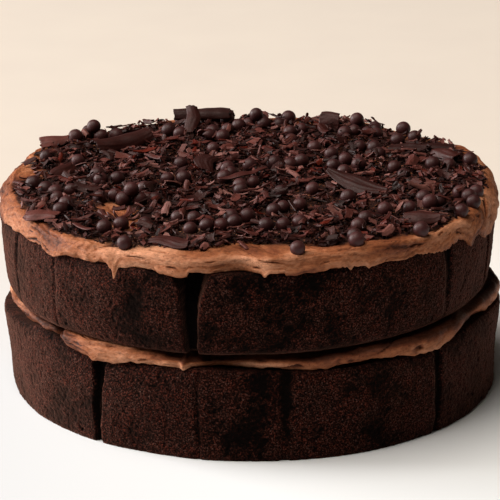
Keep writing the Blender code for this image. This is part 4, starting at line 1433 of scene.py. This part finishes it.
def plate(rng):
    """A flake about as long as a pearl is thick, or at most a little over twice that."""
    length = min(rng.gamma(2.8, 1.8) + 2.8, 14.0)
    return flat_piece(rng, length, length * rng.uniform(0.22, 0.6), rng.uniform(0.25, 0.55))


def shard(rng):
    """A broad broken piece of a shaving."""
    length = rng.uniform(6.5, 11.0)
    return flat_piece(rng, length, length * rng.uniform(0.40, 0.75), rng.uniform(0.5, 0.9))


def splinter(rng):
    """A narrow sliver that narrows to its ends."""
    length = rng.gamma(3.0, 0.7) + 1.0
    width = rng.uniform(0.4, 1.1)
    thickness = rng.uniform(0.25, 0.5)
    along = np.linspace(-0.5, 0.5, SPLINTER_STEPS + 1)[:, None]
    across = np.array([[-0.5, 0.5]])
    from_middle = (2 * along) ** 2
    x = along * length + 0.2 * rng.uniform(-1, 1, (SPLINTER_STEPS + 1, 2))
    y = across * width * (1.1 - 0.7 * from_middle) + rng.uniform(-0.2, 0.2) * length * from_middle
    z = rng.uniform(-0.06, 0.10) * length * from_middle
    return slab_points(x, y, z, thickness), footprint(length, width)


def crumb(rng):
    """A small broken chip."""
    size = rng.uniform(0.4, 1.15)
    points = CRUMB_POINTS * size * rng.uniform(0.6, 1.25, CRUMB_POINTS.shape) * (1.3, 0.9, 0.5)
    return points, footprint(2.0 * size, 1.6 * size)


PLATE_FACES = slab_faces(PLATE_STEPS, PLATE_SIDES)
SPLINTER_FACES = slab_faces(SPLINTER_STEPS, 1)
CRUMB_POINTS, CRUMB_FACES = chip()


# Floor, lights and camera


def floor():
    bpy.ops.mesh.primitive_plane_add(size=8.0)
    plane = bpy.context.object
    plane.name = "floor"
    plane.data.materials.append(floor_look())


def softbox(name, azimuth, elevation, distance, size, watts, colour):
    """A square soft light that faces the cake. Azimuth is the angle round the cake that it shines from."""
    light = bpy.data.lights.new(name, "AREA")
    light.size = size
    light.energy = watts
    light.color = colour
    obj = bpy.data.objects.new(name, light)
    rise = math.radians(elevation)
    obj.location = around(azimuth, distance * math.cos(rise), distance * math.sin(rise))
    obj.rotation_euler = (Vector((0.0, 0.0, 0.05)) - obj.location).to_track_quat("-Z", "Y").to_euler()
    bpy.context.scene.collection.objects.link(obj)


def lights():
    """A broad window at the left, a soft light high over it, and a faint glow from a wall at the right."""
    softbox("window", -106.0, 18.0, 3.0, 1.8, 160.0, (1.0, 0.975, 0.955))
    softbox("overhead", -68.0, 66.0, 3.0, 2.2, 109.0, (1.0, 0.91, 0.81))
    softbox("wall", 120.0, 18.0, 3.0, 2.0, 4.0, (1.0, 0.80, 0.58))
    world = bpy.data.worlds.new("studio")
    world.use_nodes = True
    background = world.node_tree.nodes["Background"]
    background.inputs["Color"].default_value = (1.0, 0.84, 0.66, 1.0)
    background.inputs["Strength"].default_value = 0.007
    bpy.context.scene.world = world
    bpy.context.scene.view_settings.view_transform = "Standard"


def camera():
    """The photograph's view: a long lens from the front, a little above the cake."""
    distance, elevation, aim_height = 1200.0, math.radians(18.38), 53.06
    lens = bpy.data.cameras.new("camera")
    lens.sensor_width = 36.0
    lens.lens = 209.6
    obj = bpy.data.objects.new("camera", lens)
    aim = Vector((0.0, 0.0, aim_height)) * MM
    back = Vector((0.0, -math.cos(elevation), math.sin(elevation)))
    obj.location = aim + back * distance * MM
    obj.rotation_euler = (-back).to_track_quat("-Z", "Y").to_euler()
    bpy.context.scene.collection.objects.link(obj)
    bpy.context.scene.camera = obj


def toppings():
    """Everything that lies on the frosting. The random draws come in the order of the solids' draws."""
    shaved, crumbled_and_shade = shaved_look(), crumbled_and_shade_look()
    bed = Bed()
    solids_rng = random.Random(SEED)
    places = pearls(pearl_look(), bed, solids_rng)
    bedded_flakes(shaved, bed, solids_rng, places)
    rng = np.random.default_rng(41)
    for shaving in SHAVINGS:
        long_shaving(shaving, shaved, bed, rng)
    loose_pieces("chocolate_crumbs", CRUMBS, crumb, CRUMB_FACES, crumbled_and_shade, bed, rng, sink=0.3)
    loose_pieces("chocolate_shards", SHARDS, shard, PLATE_FACES, shaved, bed, rng, sink=0.2)
    loose_pieces("chocolate_splinters", SPLINTERS, splinter, SPLINTER_FACES, crumbled_and_shade, bed, rng, sink=0.2)
    loose_pieces("chocolate_flakes", PLATES, plate, PLATE_FACES, shaved, bed, rng, sink=0.2)


def main():
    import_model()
    camera()
    floor()
    lights()
    sponge = sponge_look()
    for layer in (LOWER_LAYER, UPPER_LAYER):
        sponge_layer(layer, sponge)
    cream = cream_look()
    filling(cream)
    frosting(cream)
    toppings()


main()
